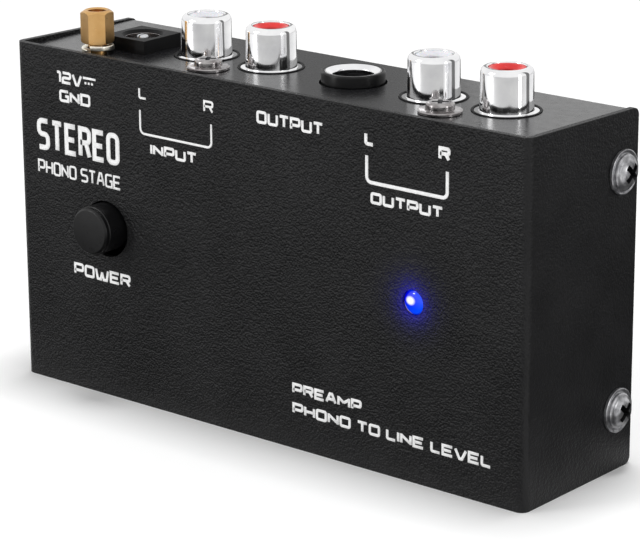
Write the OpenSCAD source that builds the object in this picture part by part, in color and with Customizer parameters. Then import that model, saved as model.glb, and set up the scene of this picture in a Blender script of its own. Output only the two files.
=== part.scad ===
// Phono preamp in a two-part sheet-steel case, standing on its long edge with the jack panel on top.
// Units are millimetres. X runs along the text face, Y from the text face to the back, Z up.
// The origin is the middle of the rim that the case stands on.

/* [Case] */
// Width over the two side walls
case_w = 106; // [104:0.5:116]
// Depth from the text face to the back plate
case_d = 28.5; // [28:0.25:34]
// Height over the side walls
case_h = 58.5; // [58:0.5:70]
// Thickness of the sheet steel
sheet_t = 1.0; // [0.8:0.1:1.2]
// Outside radius of the bends
bend_r = 1.5; // [1.3:0.1:2.0]
// Radius on the free back corners of the side walls
corner_r = 1.25; // [0.75:0.25:2]
// Step from the cover's edges in to the chassis plates
panel_drop = 0.8; // [0.5:0.1:1.5]
// Fall of the side walls' top edge from the front bend to the back
wall_back_drop = 0.6; // [0.2:0.1:0.7]
// Air between the chassis and the cover's walls
slip_gap = 0.15; // [0.1:0.05:0.3]
// Height of the relief notch at each end of a chassis side flange
relief_h = 1.2; // [0.8:0.1:2]
// Depth of the chassis side flanges
flange_d = 8.6; // [8:0.2:10]
// Distance from the plates to the ends of the side flanges
flange_end = 2.5; // [1.5:0.5:5]

/* [Case screws] */
// Distance from the back edge to the screws
case_screw_in = 4.15; // [4.05:0.05:4.5]
// Distance from the top and bottom edges to the screws
case_screw_end = 10; // [9:0.5:14]
// Radius of the screw's washer
case_washer_r = 3.6; // [3:0.1:3.7]
// Thickness of the screw's washer
case_washer_t = 0.85; // [0.5:0.05:1]
// Radius of the domed head
case_dome_r = 2.7; // [2.4:0.1:2.9]
// Height of the whole head
case_head_h = 2.4; // [1.8:0.1:3]
// Radius of the thread
case_thread_r = 1.4; // [1.2:0.05:1.45]
// Length under the head
case_screw_l = 6; // [4:0.5:6.5]
// Radius of the collar drawn in the flange for the thread
collar_r = 2.4; // [2.1:0.1:2.8]
// Length of that collar past the sheet
collar_l = 1.2; // [0.8:0.1:2]

/* [Circuit board] */
// Gap from the tips of the case screws to the board's sides
board_side_gap = 1; // [0.6:0.1:1.5]
// Thickness of the board
board_t = 1.6; // [1.2:0.2:1.6]
// Gap from the back plate to the board
standoff_l = 3; // [2.6:0.1:3.4]
// Gap from the chassis plates to the board's edges
board_edge = 1; // [0.8:0.1:1.4]
// Distance from the board's sides in to its screws
board_screw_in = 3.5; // [3:0.25:4]
// Distance from the bottom plate up to the lower board screws
board_screw_rise = 7.2; // [6.5:0.1:9]
// Distance from the panel down to the upper board screws
board_screw_drop = 18.7; // [17:0.1:20]
// How far the soldered leads stand out of the back of the board
lead_out = 1.5; // [1:0.1:1.8]

/* [Phono jacks] */
// Middle of the input pair
input_x = -16.1; // [-16.4:0.1:-15.8]
// Gap from the line jack's body to the output pair's housing
output_gap = 2.8; // [2.4:0.1:3.2]
// Distance between the two jacks of a pair
rca_pitch = 14; // [13.8:0.1:14.2]
// Height of the jack centres above the board
jack_rise = 8.15; // [7.8:0.05:8.4]
// Outside radius of a shell
rca_shell_r = 4.2; // [4.1:0.05:4.25]
// Wall of a shell
rca_shell_wall = 0.45; // [0.4:0.05:0.5]
// How far a shell stands above the panel
rca_height = 6.9; // [6.6:0.1:8]
// Radius of the shell's rounded shoulder
rca_shoulder_r = 1.2; // [0.8:0.1:1.3]
// Radius of the shell's mouth
rca_mouth_r = 2.95; // [2.8:0.05:3]
// Radius of the flange at the shell's foot
rca_flange_r = 5.1; // [4.95:0.05:5.2]
// Thickness of that flange
rca_flange_t = 1.15; // [0.9:0.05:1.3]
// Radius of the panel hole round a jack
jack_hole_r = 5.5; // [5.4:0.05:5.7]
// Bore radius of the centre contact
contact_bore_r = 1.65; // [1.62:0.01:1.7]
// Wall of the centre contact
contact_wall = 0.3; // [0.2:0.05:0.35]
// Width of the jack housing
rca_block_w = 26; // [25.5:0.1:26.5]
// Length of the jack housing below the panel
rca_block_l = 10; // [9.5:0.1:10.5]

/* [Jack screws] */
// Distance from the jack row forward to the screws
jack_screw_fwd = 7.5; // [7.4:0.05:7.8]
// Radius of the screw's washer
jack_washer_r = 3.5; // [3.3:0.05:3.8]
// Thickness of the screw's washer
jack_washer_t = 0.6; // [0.4:0.05:0.8]
// Radius of the domed head
jack_dome_r = 2.4; // [2.2:0.05:2.8]
// Height of the whole head
jack_head_h = 1.9; // [1.5:0.1:2.4]
// Radius of the thread
jack_thread_r = 1.4; // [1.2:0.05:1.5]
// Length under the head
jack_screw_l = 7; // [5:0.5:8]

/* [Line jack] */
// Gap from the input pair's housing to the body of the 6.35 mm jack
line_gap = 3.8; // [3.4:0.1:4.2]
// Radius of the nose in the panel
line_nose_r = 5.1; // [5:0.05:5.2]
// How far the nose stands above the panel
line_nose_h = 1.9; // [1:0.1:3]
// Outside radius of the mouth ferrule
ferrule_r = 4.55; // [4.4:0.05:4.6]
// Bore radius for the plug
plug_bore_r = 3.25; // [3.2:0.01:3.3]
// Length of the ferrule
ferrule_l = 8; // [7:0.5:9]
// Width of the jack body
line_body_w = 14.6; // [14.2:0.1:15]
// Length of the jack body below the panel
line_body_l = 28; // [27:0.5:30]

/* [Power jack] */
// Gap from the input pair's housing to the power jack
dc_gap = 2.1; // [1.8:0.1:2.3]
// Side of the square nose
dc_side = 9; // [8.8:0.1:9.2]
// How far the power jack's centre lies forward of the jack row
dc_fwd = 2; // [1.6:0.1:2.1]
// How far the nose stands above the panel
dc_proud = 2.2; // [1.5:0.1:3.5]
// Radius of the well that takes the plug
dc_well_r = 3.1; // [3:0.05:3.2]
// Depth of that well
dc_well_l = 9.5; // [9:0.1:10]
// Radius of the centre pin
dc_pin_r = 1.0; // [0.95:0.01:1.05]
// Depth from the nose's face to the pin's tip
dc_pin_sink = 0.15; // [0.05:0.05:1]
// Length of the jack body below the panel
dc_body_l = 11; // [10.8:0.1:12]

/* [Ground terminal] */
// How far the stud lies to the left of the power jack's middle
ground_side = 2.9; // [2.7:0.05:3.2]
// Distance from the text face back to the stud
ground_in = 4.95; // [4.6:0.05:5]
// Radius of the stud's thread
stud_r = 1.5; // [1.45:0.01:1.52]
// Width of the brass nut across its flats
nut_af = 4.8; // [4.7:0.1:5.1]
// Height of the brass nut
nut_h = 5.5; // [5:0.1:7]
// Running clearance between the stud and the nut's bore
nut_play = 0.05; // [0.03:0.01:0.08]
// Angle that the nut is left at
nut_angle = 12; // [0:1:59]
// Rise of the nut for each turn
nut_pitch = 0.5; // [0.35:0.05:0.5]
// Turns that the nut is backed off to free a ground lead
nut_turns = 4; // [1:1:5]
// Outside radius of the split washer
split_washer_r = 2.75; // [2.6:0.05:2.8]
// Thickness of the split washer's wire
split_washer_t = 0.85; // [0.6:0.05:1]
// How far the washer's ends are sprung apart
split_washer_rise = 0.75; // [0.3:0.05:0.9]

/* [Power button] */
// Distance from the middle across to the button
button_x = -33; // [-33.3:0.1:-31.4]
// Height of the button's centre above the middle of the text face
button_rise = 0.5; // [-0.25:0.25:1.5]
// Radius of the cap
cap_r = 4.1; // [4:0.05:4.2]
// How far the cap stands out of the text face
cap_proud = 4.2; // [3.6:0.1:6]
// Air round the cap in its hole
cap_gap = 0.7; // [0.6:0.05:1]
// How far the hole is cut below the cap's centre
cap_hole_drop = 0.45; // [0:0.05:0.45]
// How far the button travels
button_travel = 2.2; // [1.5:0.1:2.5]
// Side of the square plunger
plunger_side = 3; // [2.8:0.1:3.1]
// Side of the switch housing
switch_side = 8.5; // [8.3:0.1:8.7]
// Height of the switch housing above the board
switch_h = 11.15; // [11:0.05:11.5]

/* [Lamp] */
// Distance from the middle across to the lamp
lamp_x = 31.6; // [31:0.1:32]
// Height of the lamp's centre above the middle of the text face
lamp_rise = 0.05; // [-1:0.05:1.5]
// Radius of the lens
lens_r = 2.5; // [2.4:0.05:2.5]
// Radius of the hole in the text face
lamp_hole_r = 2.05; // [1.9:0.05:2.15]
// Length of the lens with its flange
lens_l = 8.6; // [8:0.1:9]

/* [Feet] */
// Radius of a rubber foot
foot_r = 4; // [3:0.25:5]
// Thickness of a rubber foot
foot_t = 2.5; // [1.5:0.1:3]
// Distance from the side walls to the feet's centres
foot_in = 10; // [8:0.5:14]
// Distance from the top and bottom edges to the feet's centres
foot_end = 8.5; // [8:0.5:12]

/* [Hidden] */
$fn = 48;

// Planes and lines that the pieces share
cut = 0.5;                       // how far a cutting solid runs past what it cuts
fit = 0.1;                       // clearance round a lead, tail or insert
text_y = -case_d / 2;            // outer side of the text face
back_y = case_d / 2;             // outer side of the back plate
wall_x = case_w / 2;             // outer side of the right wall
wall_back_top = case_h - wall_back_drop;  // top of the side walls at the back
cover_in_y = text_y + sheet_t;
back_in_y = back_y - sheet_t;
chassis_x = wall_x - sheet_t - slip_gap;
chassis_front_y = cover_in_y + slip_gap;
panel_top = case_h - panel_drop;
panel_under = panel_top - sheet_t;
floor_top = panel_drop + sheet_t;
board_back_y = back_in_y - standoff_l;
board_face_y = board_back_y - board_t;
board_low_z = floor_top + board_edge;
board_high_z = panel_under - board_edge;
lead_end_y = board_back_y + lead_out;
jack_y = board_face_y - jack_rise;
flange_low_z = floor_top + flange_end;
flange_high_z = panel_under - flange_end;
case_screw_y = back_y - case_screw_in;
case_screw_zs = [case_screw_end, case_h - case_screw_end];
button_z = case_h / 2 + button_rise;
lamp_z = case_h / 2 + lamp_rise;

// The jack row, one piece after the other from the input pair
line_x = input_x + rca_block_w / 2 + line_gap + line_body_w / 2;
output_x = line_x + line_body_w / 2 + output_gap + rca_block_w / 2;
dc_x = input_x - rca_block_w / 2 - dc_gap - dc_side / 2;
ground_x = dc_x - ground_side;

// ---------- helpers ----------

// A box given by its two corners
module span(low, high) {
    translate(low) cube(high - low);
}

// Turns a shape built along +Z so that it points along +X
module along_x() {
    rotate([0, 90, 0]) children();
}

// Turns a shape built along +Z so that it points along -Y, out of the text face
module along_front() {
    rotate([90, 0, 0]) children();
}

// A square-cut quarter corner, to be cut away so that a round corner is left; the corner is at the origin
module corner_cut(radius, thick) {
    difference() {
        translate([-cut, -cut, 0]) cube([radius + cut, radius + cut, thick]);
        translate([radius, radius, -cut]) cylinder(r = radius, h = thick + 2 * cut);
    }
}

// Closed tube of straight facets through points that are given with their cross sections
function loop_faces(rings, sides) = concat(
    [[for (k = [sides - 1:-1:0]) k]],
    [for (i = [0:rings - 2], k = [0:sides - 1])
        [i * sides + k, i * sides + (k + 1) % sides, (i + 1) * sides + (k + 1) % sides, (i + 1) * sides + k]],
    [[for (k = [0:sides - 1]) (rings - 1) * sides + k]]
);

// A section in radius and height, swept round Z while it climbs
module climbing_ring(section, turns, climb, rings) {
    sides = len(section);
    points = [for (i = [0:rings - 1], k = [0:sides - 1])
        let (a = 360 * turns * i / (rings - 1), z = climb * i / (rings - 1))
        [section[k][0] * cos(a), section[k][0] * sin(a), section[k][1] + z]];
    polyhedron(points = points, faces = loop_faces(rings, sides), convexity = 8);
}

// A round wire through points in space
module wire(route, radius, sides = 8) {
    last = len(route) - 1;
    points = [for (i = [0:last])
        let (
            along = route[min(i + 1, last)] - route[max(i - 1, 0)],
            t = along / norm(along),
            side = cross(t, [0.3, 1, 0.2]),
            u = side / norm(side),
            v = cross(t, u)
        )
        for (k = [0:sides - 1]) route[i] + radius * (cos(360 * k / sides) * u + sin(360 * k / sides) * v)];
    polyhedron(points = points, faces = loop_faces(last + 1, sides), convexity = 8);
}

// Washer-head screw along +Z: underside at 0, cross recess on top, thread below
module washer_head_screw(washer_r, washer_t, dome_r, head_h, thread_r, length) {
    recess_w = dome_r * 0.32;
    recess_l = dome_r * 1.2;
    recess_h = head_h - washer_t;
    difference() {
        union() {
            cylinder(r = washer_r, h = washer_t);
            rotate_extrude() {
                intersection() {
                    translate([0, dome_floor(dome_r, recess_h, washer_t)])
                        circle(r = dome_ball(dome_r, recess_h));
                    translate([0, washer_t - fit]) square([dome_r, recess_h + fit]);
                }
            }
            translate([0, 0, -length]) cylinder(r = thread_r, h = length + fit);
        }
        for (turn = [0, 90]) {
            rotate([0, 0, turn])
                translate([-recess_l / 2, -recess_w / 2, washer_t + fit])
                    cube([recess_l, recess_w, head_h]);
        }
    }
}

// Ball that gives a dome of that radius and rise, and the height of the ball's centre
function dome_ball(radius, rise) = (radius * radius + rise * rise) / (2 * rise);
function dome_floor(radius, rise, base) = base + rise - dome_ball(radius, rise);

// ---------- case ----------

module cover_outline(inset) {
    r = bend_r - inset;
    half = wall_x - inset;
    front = text_y + inset;
    translate([-half, front + r]) square([2 * half, case_d + cut]);
    translate([-half + r, front]) square([2 * (half - r), r + cut]);
    for (side = [-1, 1]) {
        translate([side * (half - r), front + r]) circle(r = r);
    }
}

module front_cover() {
    color("#1d1d1f") difference() {
        linear_extrude(case_h) difference() {
            cover_outline(0);
            cover_outline(sheet_t);
            translate([-case_w, back_y]) square([2 * case_w, case_d]);
        }
        for (side = [-1, 1], top = [0, 1]) {
            translate([side * wall_x, back_y, top * wall_back_top])
                mirror([side > 0 ? 1 : 0, 0, 0])
                    mirror([0, 0, top])
                        translate([-cut, 0, 0]) mirror([0, 1, 0])
                            rotate([90, 0, 90]) corner_cut(corner_r, 3 * sheet_t);
        }
        translate([-case_w, 0, 0]) rotate([90, 0, 90]) linear_extrude(2 * case_w) polygon([
            [text_y + bend_r, case_h],
            [back_y - 2 * corner_r, wall_back_top],
            [back_y + cut, wall_back_top],
            [back_y + cut, case_h + cut],
            [text_y + bend_r, case_h + cut]]);
        translate([button_x, text_y + sheet_t + cut, button_z - cap_hole_drop])
            along_front() cylinder(r = cap_r + cap_gap, h = sheet_t + 2 * cut);
        translate([lamp_x, text_y + sheet_t + cut, lamp_z])
            along_front() cylinder(r = lamp_hole_r, h = sheet_t + 2 * cut);
        for (side = [-1, 1], z = case_screw_zs) {
            translate([side * (wall_x - sheet_t / 2), case_screw_y, z])
                along_x() cylinder(r = case_thread_r + 2 * fit, h = 3 * sheet_t, center = true);
        }
    }
}

// Section of the chassis across X: panel, back plate and bottom plate
module chassis_outline(inset) {
    r = bend_r - inset;
    low = panel_drop + inset;
    high = panel_top - inset;
    back = back_y - inset;
    translate([chassis_front_y - (inset > 0 ? cut : 0), low])
        square([back - r - chassis_front_y + (inset > 0 ? cut : 0), high - low]);
    translate([back - r - cut, low + r]) square([r + cut, high - low - 2 * r]);
    for (z = [low + r, high - r]) {
        translate([back - r, z]) circle(r = r);
    }
}

module side_flange() {
    r = bend_r;
    inner_r = bend_r - sheet_t;
    translate([0, 0, flange_low_z]) linear_extrude(flange_high_z - flange_low_z) {
        translate([chassis_x - sheet_t, back_y - flange_d]) square([sheet_t, flange_d - r]);
        translate([chassis_x - r, back_y - r]) intersection() {
            difference() {
                circle(r = r);
                circle(r = inner_r);
            }
            square([r, r]);
        }
    }
}

module chassis() {
    relief_y = back_y - bend_r - relief_h;
    color("#26272a") difference() {
        union() {
            difference() {
                translate([-chassis_x, 0, 0]) rotate([90, 0, 90]) linear_extrude(2 * chassis_x) difference() {
                    chassis_outline(0);
                    chassis_outline(sheet_t);
                }
                for (side = [-1, 1]) {
                    mirror([side > 0 ? 0 : 1, 0, 0])
                        span([chassis_x - bend_r, relief_y, flange_low_z - relief_h],
                             [chassis_x + cut, back_y + cut, flange_high_z + relief_h]);
                }
            }
            for (side = [0, 1]) {
                mirror([side, 0, 0]) {
                    side_flange();
                    for (z = case_screw_zs) {
                        translate([chassis_x - sheet_t - collar_l, case_screw_y, z])
                            along_x() cylinder(r = collar_r, h = collar_l + fit);
                    }
                }
            }
        }
        for (side = [-1, 1], z = case_screw_zs) {
            translate([side * chassis_x, case_screw_y, z])
                along_x() cylinder(r = case_thread_r + fit / 2, h = 4 * (sheet_t + collar_l), center = true);
        }
        for (x = jack_xs) {
            panel_hole(x, jack_y, jack_hole_r);
        }
        panel_hole(line_x, jack_y, jack_hole_r);
        for (x = [input_x, output_x]) {
            panel_hole(x, jack_screw_y, jack_thread_r + 3 * fit);
        }
        panel_hole(ground_x, ground_y, stud_r + fit);
        span([dc_x - dc_side / 2 - fit, dc_y - dc_side / 2 - fit, panel_under - cut],
             [dc_x + dc_side / 2 + fit, dc_y + dc_side / 2 + fit, panel_top + cut]);
        for (spot = board_screw_spots) {
            translate([spot[0], back_y + cut, spot[1]])
                along_front() cylinder(r = standoff_foot_r + fit / 5, h = sheet_t + 2 * cut);
        }
    }
}

module panel_hole(x, y, radius) {
    translate([x, y, panel_under - cut]) cylinder(r = radius, h = sheet_t + 2 * cut);
}

module case_screws() {
    color("#6d7075") for (side = [0, 1], z = case_screw_zs) {
        mirror([side, 0, 0]) translate([wall_x, case_screw_y, z]) along_x() rotate([0, 0, 20])
            washer_head_screw(case_washer_r, case_washer_t, case_dome_r, case_head_h,
                              case_thread_r, case_screw_l);
    }
}

module rubber_feet() {
    lip = foot_t * 0.3;
    color("#17171a") for (side = [-1, 1], z = [foot_end, case_h - foot_end]) {
        translate([side * (wall_x - foot_in), back_y + foot_t, z]) along_front() rotate_extrude() {
            square([foot_r - lip, foot_t]);
            translate([0, lip]) square([foot_r, foot_t - lip]);
            translate([foot_r - lip, lip]) circle(r = lip);
        }
    }
}

// ---------- circuit board ----------

standoff_r = 2.75;               // hexagon's corner radius
standoff_foot_r = 2.1;           // pressed foot in the back plate
board_screw_r = 1.45;
board_screw_head_r = 2.6;
board_screw_head_h = 2;
board_screw_l = board_t + 2.4;
board_w = 2 * (wall_x - case_screw_l - board_side_gap);
board_screw_x = board_w / 2 - board_screw_in;
board_screw_zs = [floor_top + board_screw_rise, panel_under - board_screw_drop];
board_screw_spots = [for (x = [-board_screw_x, board_screw_x], z = board_screw_zs) [x, z]];
lead_r = 0.3;
lead_hole_r = lead_r + fit;

module circuit_board() {
    color("#b98b4a") difference() {
        span([-board_w / 2, board_face_y, board_low_z], [board_w / 2, board_back_y, board_high_z]);
        for (spot = board_screw_spots) {
            board_hole(spot[0], spot[1], board_screw_r + 2 * fit);
        }
        for (spot = lead_spots) {
            board_hole(spot[0], spot[1], lead_hole_r);
        }
        for (spot = tail_spots) {
            board_hole(spot[0], spot[1], tail_hole_r);
        }
        for (x = [input_x, output_x], side = [-1, 1]) {
            board_hole(x + side * peg_x, peg_z, peg_r + fit);
        }
    }
}

module board_hole(x, z, radius) {
    translate([x, board_back_y + cut, z]) along_front() cylinder(r = radius, h = board_t + 2 * cut, $fn = 24);
}

module board_standoffs() {
    color("#b9bcc0") for (spot = board_screw_spots) {
        translate([spot[0], back_in_y, spot[1]]) difference() {
            union() {
                along_front() cylinder(r = standoff_r, h = standoff_l, $fn = 6);
                translate([0, sheet_t, 0]) along_front() cylinder(r = standoff_foot_r, h = sheet_t + fit);
            }
            translate([0, -0.4, 0]) along_front() cylinder(r = board_screw_r + fit / 2, h = standoff_l + cut);
        }
    }
}

module board_screws() {
    color("#c9ccd0") for (spot = board_screw_spots) {
        translate([spot[0], board_face_y, spot[1]]) difference() {
            union() {
                along_front() rotate_extrude() {
                    square([board_screw_head_r - 0.6, board_screw_head_h]);
                    square([board_screw_head_r, board_screw_head_h - 0.6]);
                    translate([board_screw_head_r - 0.6, board_screw_head_h - 0.6]) circle(r = 0.6);
                }
                translate([0, board_screw_l, 0])
                    along_front() cylinder(r = board_screw_r, h = board_screw_l + fit);
            }
            for (turn = [0, 90]) {
                rotate([0, turn + 30, 0])
                    translate([-1.4, -board_screw_head_h - cut, -0.4]) cube([2.8, cut + 1.1, 0.8]);
            }
        }
    }
}

// ---------- phono jacks ----------

jack_xs = [for (x = [input_x, output_x], side = [-1, 1]) x + side * rca_pitch / 2];
jack_screw_y = jack_y - jack_screw_fwd;
rca_inner_r = rca_shell_r - rca_shell_wall;
rca_top = panel_top + rca_height;
rca_flange_top = panel_under + rca_flange_t;
insulator_low = panel_under - 5;
insulator_r = rca_inner_r - fit / 2;
contact_r = contact_bore_r + contact_wall;
contact_low = panel_under - 8;
contact_top = rca_top - 2;
well_floor = rca_top - 1.5;      // foot of the insulator's funnel
tail_t = 0.5;                    // thickness of the stamped tails
tail_w = 1.0;                    // width of the tails where they pass the board
tail_hole_r = 0.7;
tag_y = rca_inner_r + 0.7;       // front side of the shell's tag, from the jack's centre
tag_w = 2;
tag_low = panel_under - 3;
peg_x = 10;
peg_z = panel_under - rca_block_l + 2;
peg_r = 0.9;
rca_block_front = jack_y - 5.8;
boss_w = 7.2;
boss_l = 8;
contact_tail_z = contact_low + tail_t / 2;
tag_tail_z = tag_low + tail_t / 2;

// Half section of the shell, from its flange to its mouth
module shell_side(radius, top, shoulder) {
    square([radius, top - shoulder]);
    square([radius - shoulder, top]);
    translate([radius - shoulder, top - shoulder]) circle(r = shoulder);
}

module rca_shell(x) {
    color("#d9dadd") translate([x, jack_y, 0]) difference() {
        union() {
            translate([0, 0, panel_under]) rotate_extrude() {
                difference() {
                    union() {
                        shell_side(rca_shell_r, rca_top - panel_under, rca_shoulder_r);
                        square([rca_flange_r, rca_flange_t]);
                    }
                    translate([0, -cut]) shell_side(rca_inner_r, rca_top - panel_under - rca_shell_wall + cut,
                                                    rca_shoulder_r - rca_shell_wall);
                    square([rca_mouth_r, rca_top]);
                }
            }
            span([-tag_w / 2, tag_y, tag_low], [tag_w / 2, tag_y + tail_t, panel_under + fit]);
            span([-tail_w / 2, tag_y, tag_low], [tail_w / 2, lead_end_y - jack_y, tag_low + tail_t]);
        }
        translate([0, 0, panel_under - 2 * cut]) cylinder(r = rca_inner_r, h = 3 * cut);
    }
}

module rca_insulator(x, paint) {
    crown = rca_top - rca_shell_wall - fit;
    color(paint) translate([x, jack_y, 0]) difference() {
        union() {
            translate([0, 0, insulator_low]) rotate_extrude() {
                shell_side(insulator_r, crown - insulator_low, rca_shoulder_r - rca_shell_wall);
            }
            cylinder_between(rca_mouth_r - fit, crown - fit, rca_top - 0.3);
        }
        cylinder_between(contact_r + fit / 2, insulator_low - cut, contact_top + fit);
        cylinder_between(contact_bore_r + fit, contact_top, rca_top + cut);
        translate([0, 0, well_floor]) cylinder(r1 = contact_bore_r + fit, r2 = rca_mouth_r - 2 * fit,
                                               h = rca_top - 0.3 - well_floor + 0.01);
    }
}

module cylinder_between(radius, low, high) {
    translate([0, 0, low]) cylinder(r = radius, h = high - low);
}

module rca_contact(x) {
    color("#c8b070") translate([x, jack_y, 0]) difference() {
        union() {
            cylinder_between(contact_r, contact_low, contact_top);
            span([-tail_w / 2, contact_bore_r + fit, contact_low],
                 [tail_w / 2, lead_end_y - jack_y, contact_low + tail_t]);
        }
        cylinder_between(contact_bore_r, contact_low - cut, contact_top + cut);
        span([-contact_r - cut, -0.2, contact_top - 5], [contact_r + cut, 0.2, contact_top + cut]);
    }
}

module jack_housing(x) {
    low = panel_under - rca_block_l;
    color("#202023") difference() {
        union() {
            span([x - rca_block_w / 2, rca_block_front, low],
                 [x + rca_block_w / 2, board_face_y, panel_under]);
            span([x - boss_w / 2, jack_screw_y - boss_w / 2, panel_under - boss_l],
                 [x + boss_w / 2, rca_block_front + fit, panel_under]);
            for (side = [-1, 1]) {
                translate([x + side * peg_x, lead_end_y - 0.5, peg_z])
                    along_front() cylinder(r = peg_r, h = lead_end_y - 0.5 - board_face_y + fit);
            }
        }
        translate([x, jack_screw_y, 0])
            cylinder_between(jack_thread_r + fit / 2, panel_top - jack_screw_l - cut, panel_under + cut);
        for (side = [-1, 1]) {
            translate([x + side * rca_pitch / 2, jack_y, 0]) {
                cylinder_between(insulator_r + fit / 2, insulator_low, panel_under + cut);
                cylinder_between(contact_r + fit, contact_low - fit, insulator_low + fit);
                span([-tail_w / 2 - fit, 0, contact_low - fit],
                     [tail_w / 2 + fit, board_face_y - jack_y + cut, contact_low + tail_t + fit]);
                span([-tag_w / 2 - fit, tag_y - fit, tag_low - fit],
                     [tag_w / 2 + fit, tag_y + tail_t + fit, panel_under + cut]);
                span([-tail_w / 2 - fit, tag_y, tag_low - fit],
                     [tail_w / 2 + fit, board_face_y - jack_y + cut, tag_low + tail_t + fit]);
            }
        }
    }
}

module input_jack_housing() { jack_housing(input_x); }
module output_jack_housing() { jack_housing(output_x); }
module input_left_shell() { rca_shell(jack_xs[0]); }
module input_right_shell() { rca_shell(jack_xs[1]); }
module output_left_shell() { rca_shell(jack_xs[2]); }
module output_right_shell() { rca_shell(jack_xs[3]); }
module input_left_insulator() { rca_insulator(jack_xs[0], "#e9e9e6"); }
module input_right_insulator() { rca_insulator(jack_xs[1], "#c32022"); }
module output_left_insulator() { rca_insulator(jack_xs[2], "#e9e9e6"); }
module output_right_insulator() { rca_insulator(jack_xs[3], "#c32022"); }
module input_left_contact() { rca_contact(jack_xs[0]); }
module input_right_contact() { rca_contact(jack_xs[1]); }
module output_left_contact() { rca_contact(jack_xs[2]); }
module output_right_contact() { rca_contact(jack_xs[3]); }

module jack_fixing_screws() {
    color("#c4c6ca") for (x = [input_x, output_x]) {
        translate([x, jack_screw_y, panel_top]) rotate([0, 0, 35])
            washer_head_screw(jack_washer_r, jack_washer_t, jack_dome_r, jack_head_h,
                              jack_thread_r, jack_screw_l);
    }
}

// ---------- 6.35 mm line jack ----------

line_top = panel_top + line_nose_h;
line_low = panel_under - line_body_l;
line_front = jack_y - 6.4;
ferrule_top = line_top - 0.05;
ferrule_low = ferrule_top - ferrule_l;
line_slot_w = 3.4;               // width of the slots for the two side contacts
line_slot_low = line_low + 1.5;
line_slot_high = line_low + 21;
line_wall_x = line_body_w / 2;
spring_t = 0.4;                  // thickness of the contact springs
spring_w = 3;
line_spring_x = line_wall_x - 0.7;
line_spring_end = 0.8;           // from the slot's top down to the fold
line_tip_rise = 6;               // from the body's foot up to the bump that meets the plug's tip
line_ring_rise = 11;             // and to the bump that meets its ring
line_tail_z = line_low + 2.5;

module line_jack_body() {
    color("#18181a") translate([line_x, jack_y, 0]) difference() {
        union() {
            span([-line_wall_x, line_front - jack_y, line_low],
                 [line_wall_x, board_face_y - jack_y, panel_under]);
            cylinder_between(line_nose_r, panel_under - fit, line_top);
        }
        cylinder_between(plug_bore_r + 0.35, line_low - cut, ferrule_low + fit);
        cylinder_between(ferrule_r + fit / 2, ferrule_low, line_top + cut);
        span([-tail_w / 2 - fit, 0, ferrule_low],
             [tail_w / 2 + fit, board_face_y - jack_y + cut, ferrule_low + tail_t + fit]);
        for (side = [-1, 1]) {
            scale([side, 1, 1]) {
                span([plug_bore_r, -line_slot_w / 2, line_slot_low],
                     [line_wall_x + cut, line_slot_w / 2, line_slot_high]);
                span([line_wall_x - 1.4, 0, line_tail_z - 0.6],
                     [line_wall_x + cut, board_face_y - jack_y + cut, line_tail_z + 0.6]);
            }
        }
    }
}

module line_jack_ferrule() {
    bevel = 0.55;
    color("#d2d3d6") translate([line_x, jack_y, 0]) difference() {
        union() {
            cylinder_between(ferrule_r, ferrule_low, ferrule_top);
            span([-tail_w / 2, plug_bore_r + fit, ferrule_low],
                 [tail_w / 2, lead_end_y - jack_y, ferrule_low + tail_t]);
        }
        cylinder_between(plug_bore_r, ferrule_low - cut, ferrule_top + cut);
        translate([0, 0, ferrule_top - bevel])
            cylinder(r1 = plug_bore_r, r2 = plug_bore_r + 2 * bevel, h = bevel + 0.01);
    }
}

// Side contact: a strip up the slot's outer side, folded back to a bump in the bore at that height
module line_contact(side, bump_z) {
    t = spring_t;
    outer = line_spring_x;
    foot = line_slot_low + fit;
    top = line_slot_high - line_spring_end;
    tip = plug_bore_r - t;
    color("#c9b376") translate([line_x, jack_y, 0]) scale([side, 1, 1]) {
        translate([0, spring_w / 2, 0]) rotate([90, 0, 0]) linear_extrude(spring_w) polygon([
            [outer, foot], [outer, top], [outer - 1.5 * t, top],
            [tip, bump_z + 0.75 * t], [tip, bump_z - 0.75 * t], [tip + 2.5 * t, bump_z - 5 * t],
            [tip + 3.25 * t, bump_z - 4.5 * t], [tip + t, bump_z], [outer - t, top - 6 * t], [outer - t, foot]
        ]);
        span([outer - t, 0, line_tail_z - tail_w / 2],
             [outer, lead_end_y - jack_y, line_tail_z + tail_w / 2]);
    }
}

module line_jack_tip_contact() { line_contact(-1, line_low + line_tip_rise); }
module line_jack_ring_contact() { line_contact(1, line_low + line_ring_rise); }

// ---------- power jack ----------

dc_y = jack_y - dc_fwd;
dc_top = panel_top + dc_proud;
dc_floor = dc_top - dc_well_l;
dc_low = panel_under - dc_body_l;
dc_tail_z = dc_low + 1.6;
dc_pin_top = dc_top - dc_pin_sink;
dc_slot_low = dc_low + 3;        // slot in the nose's side for the sleeve contact
dc_slot_high = panel_under - 1;
dc_spring_x = -dc_side / 2 + 0.3;
dc_side_tail_z = dc_low + 4.1;   // the sleeve contact's tail
dc_bevel = 0.45;                 // at the well's mouth
dc_pin_slot_w = 0.3;
dc_pin_slot_l = 1.6;

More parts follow.
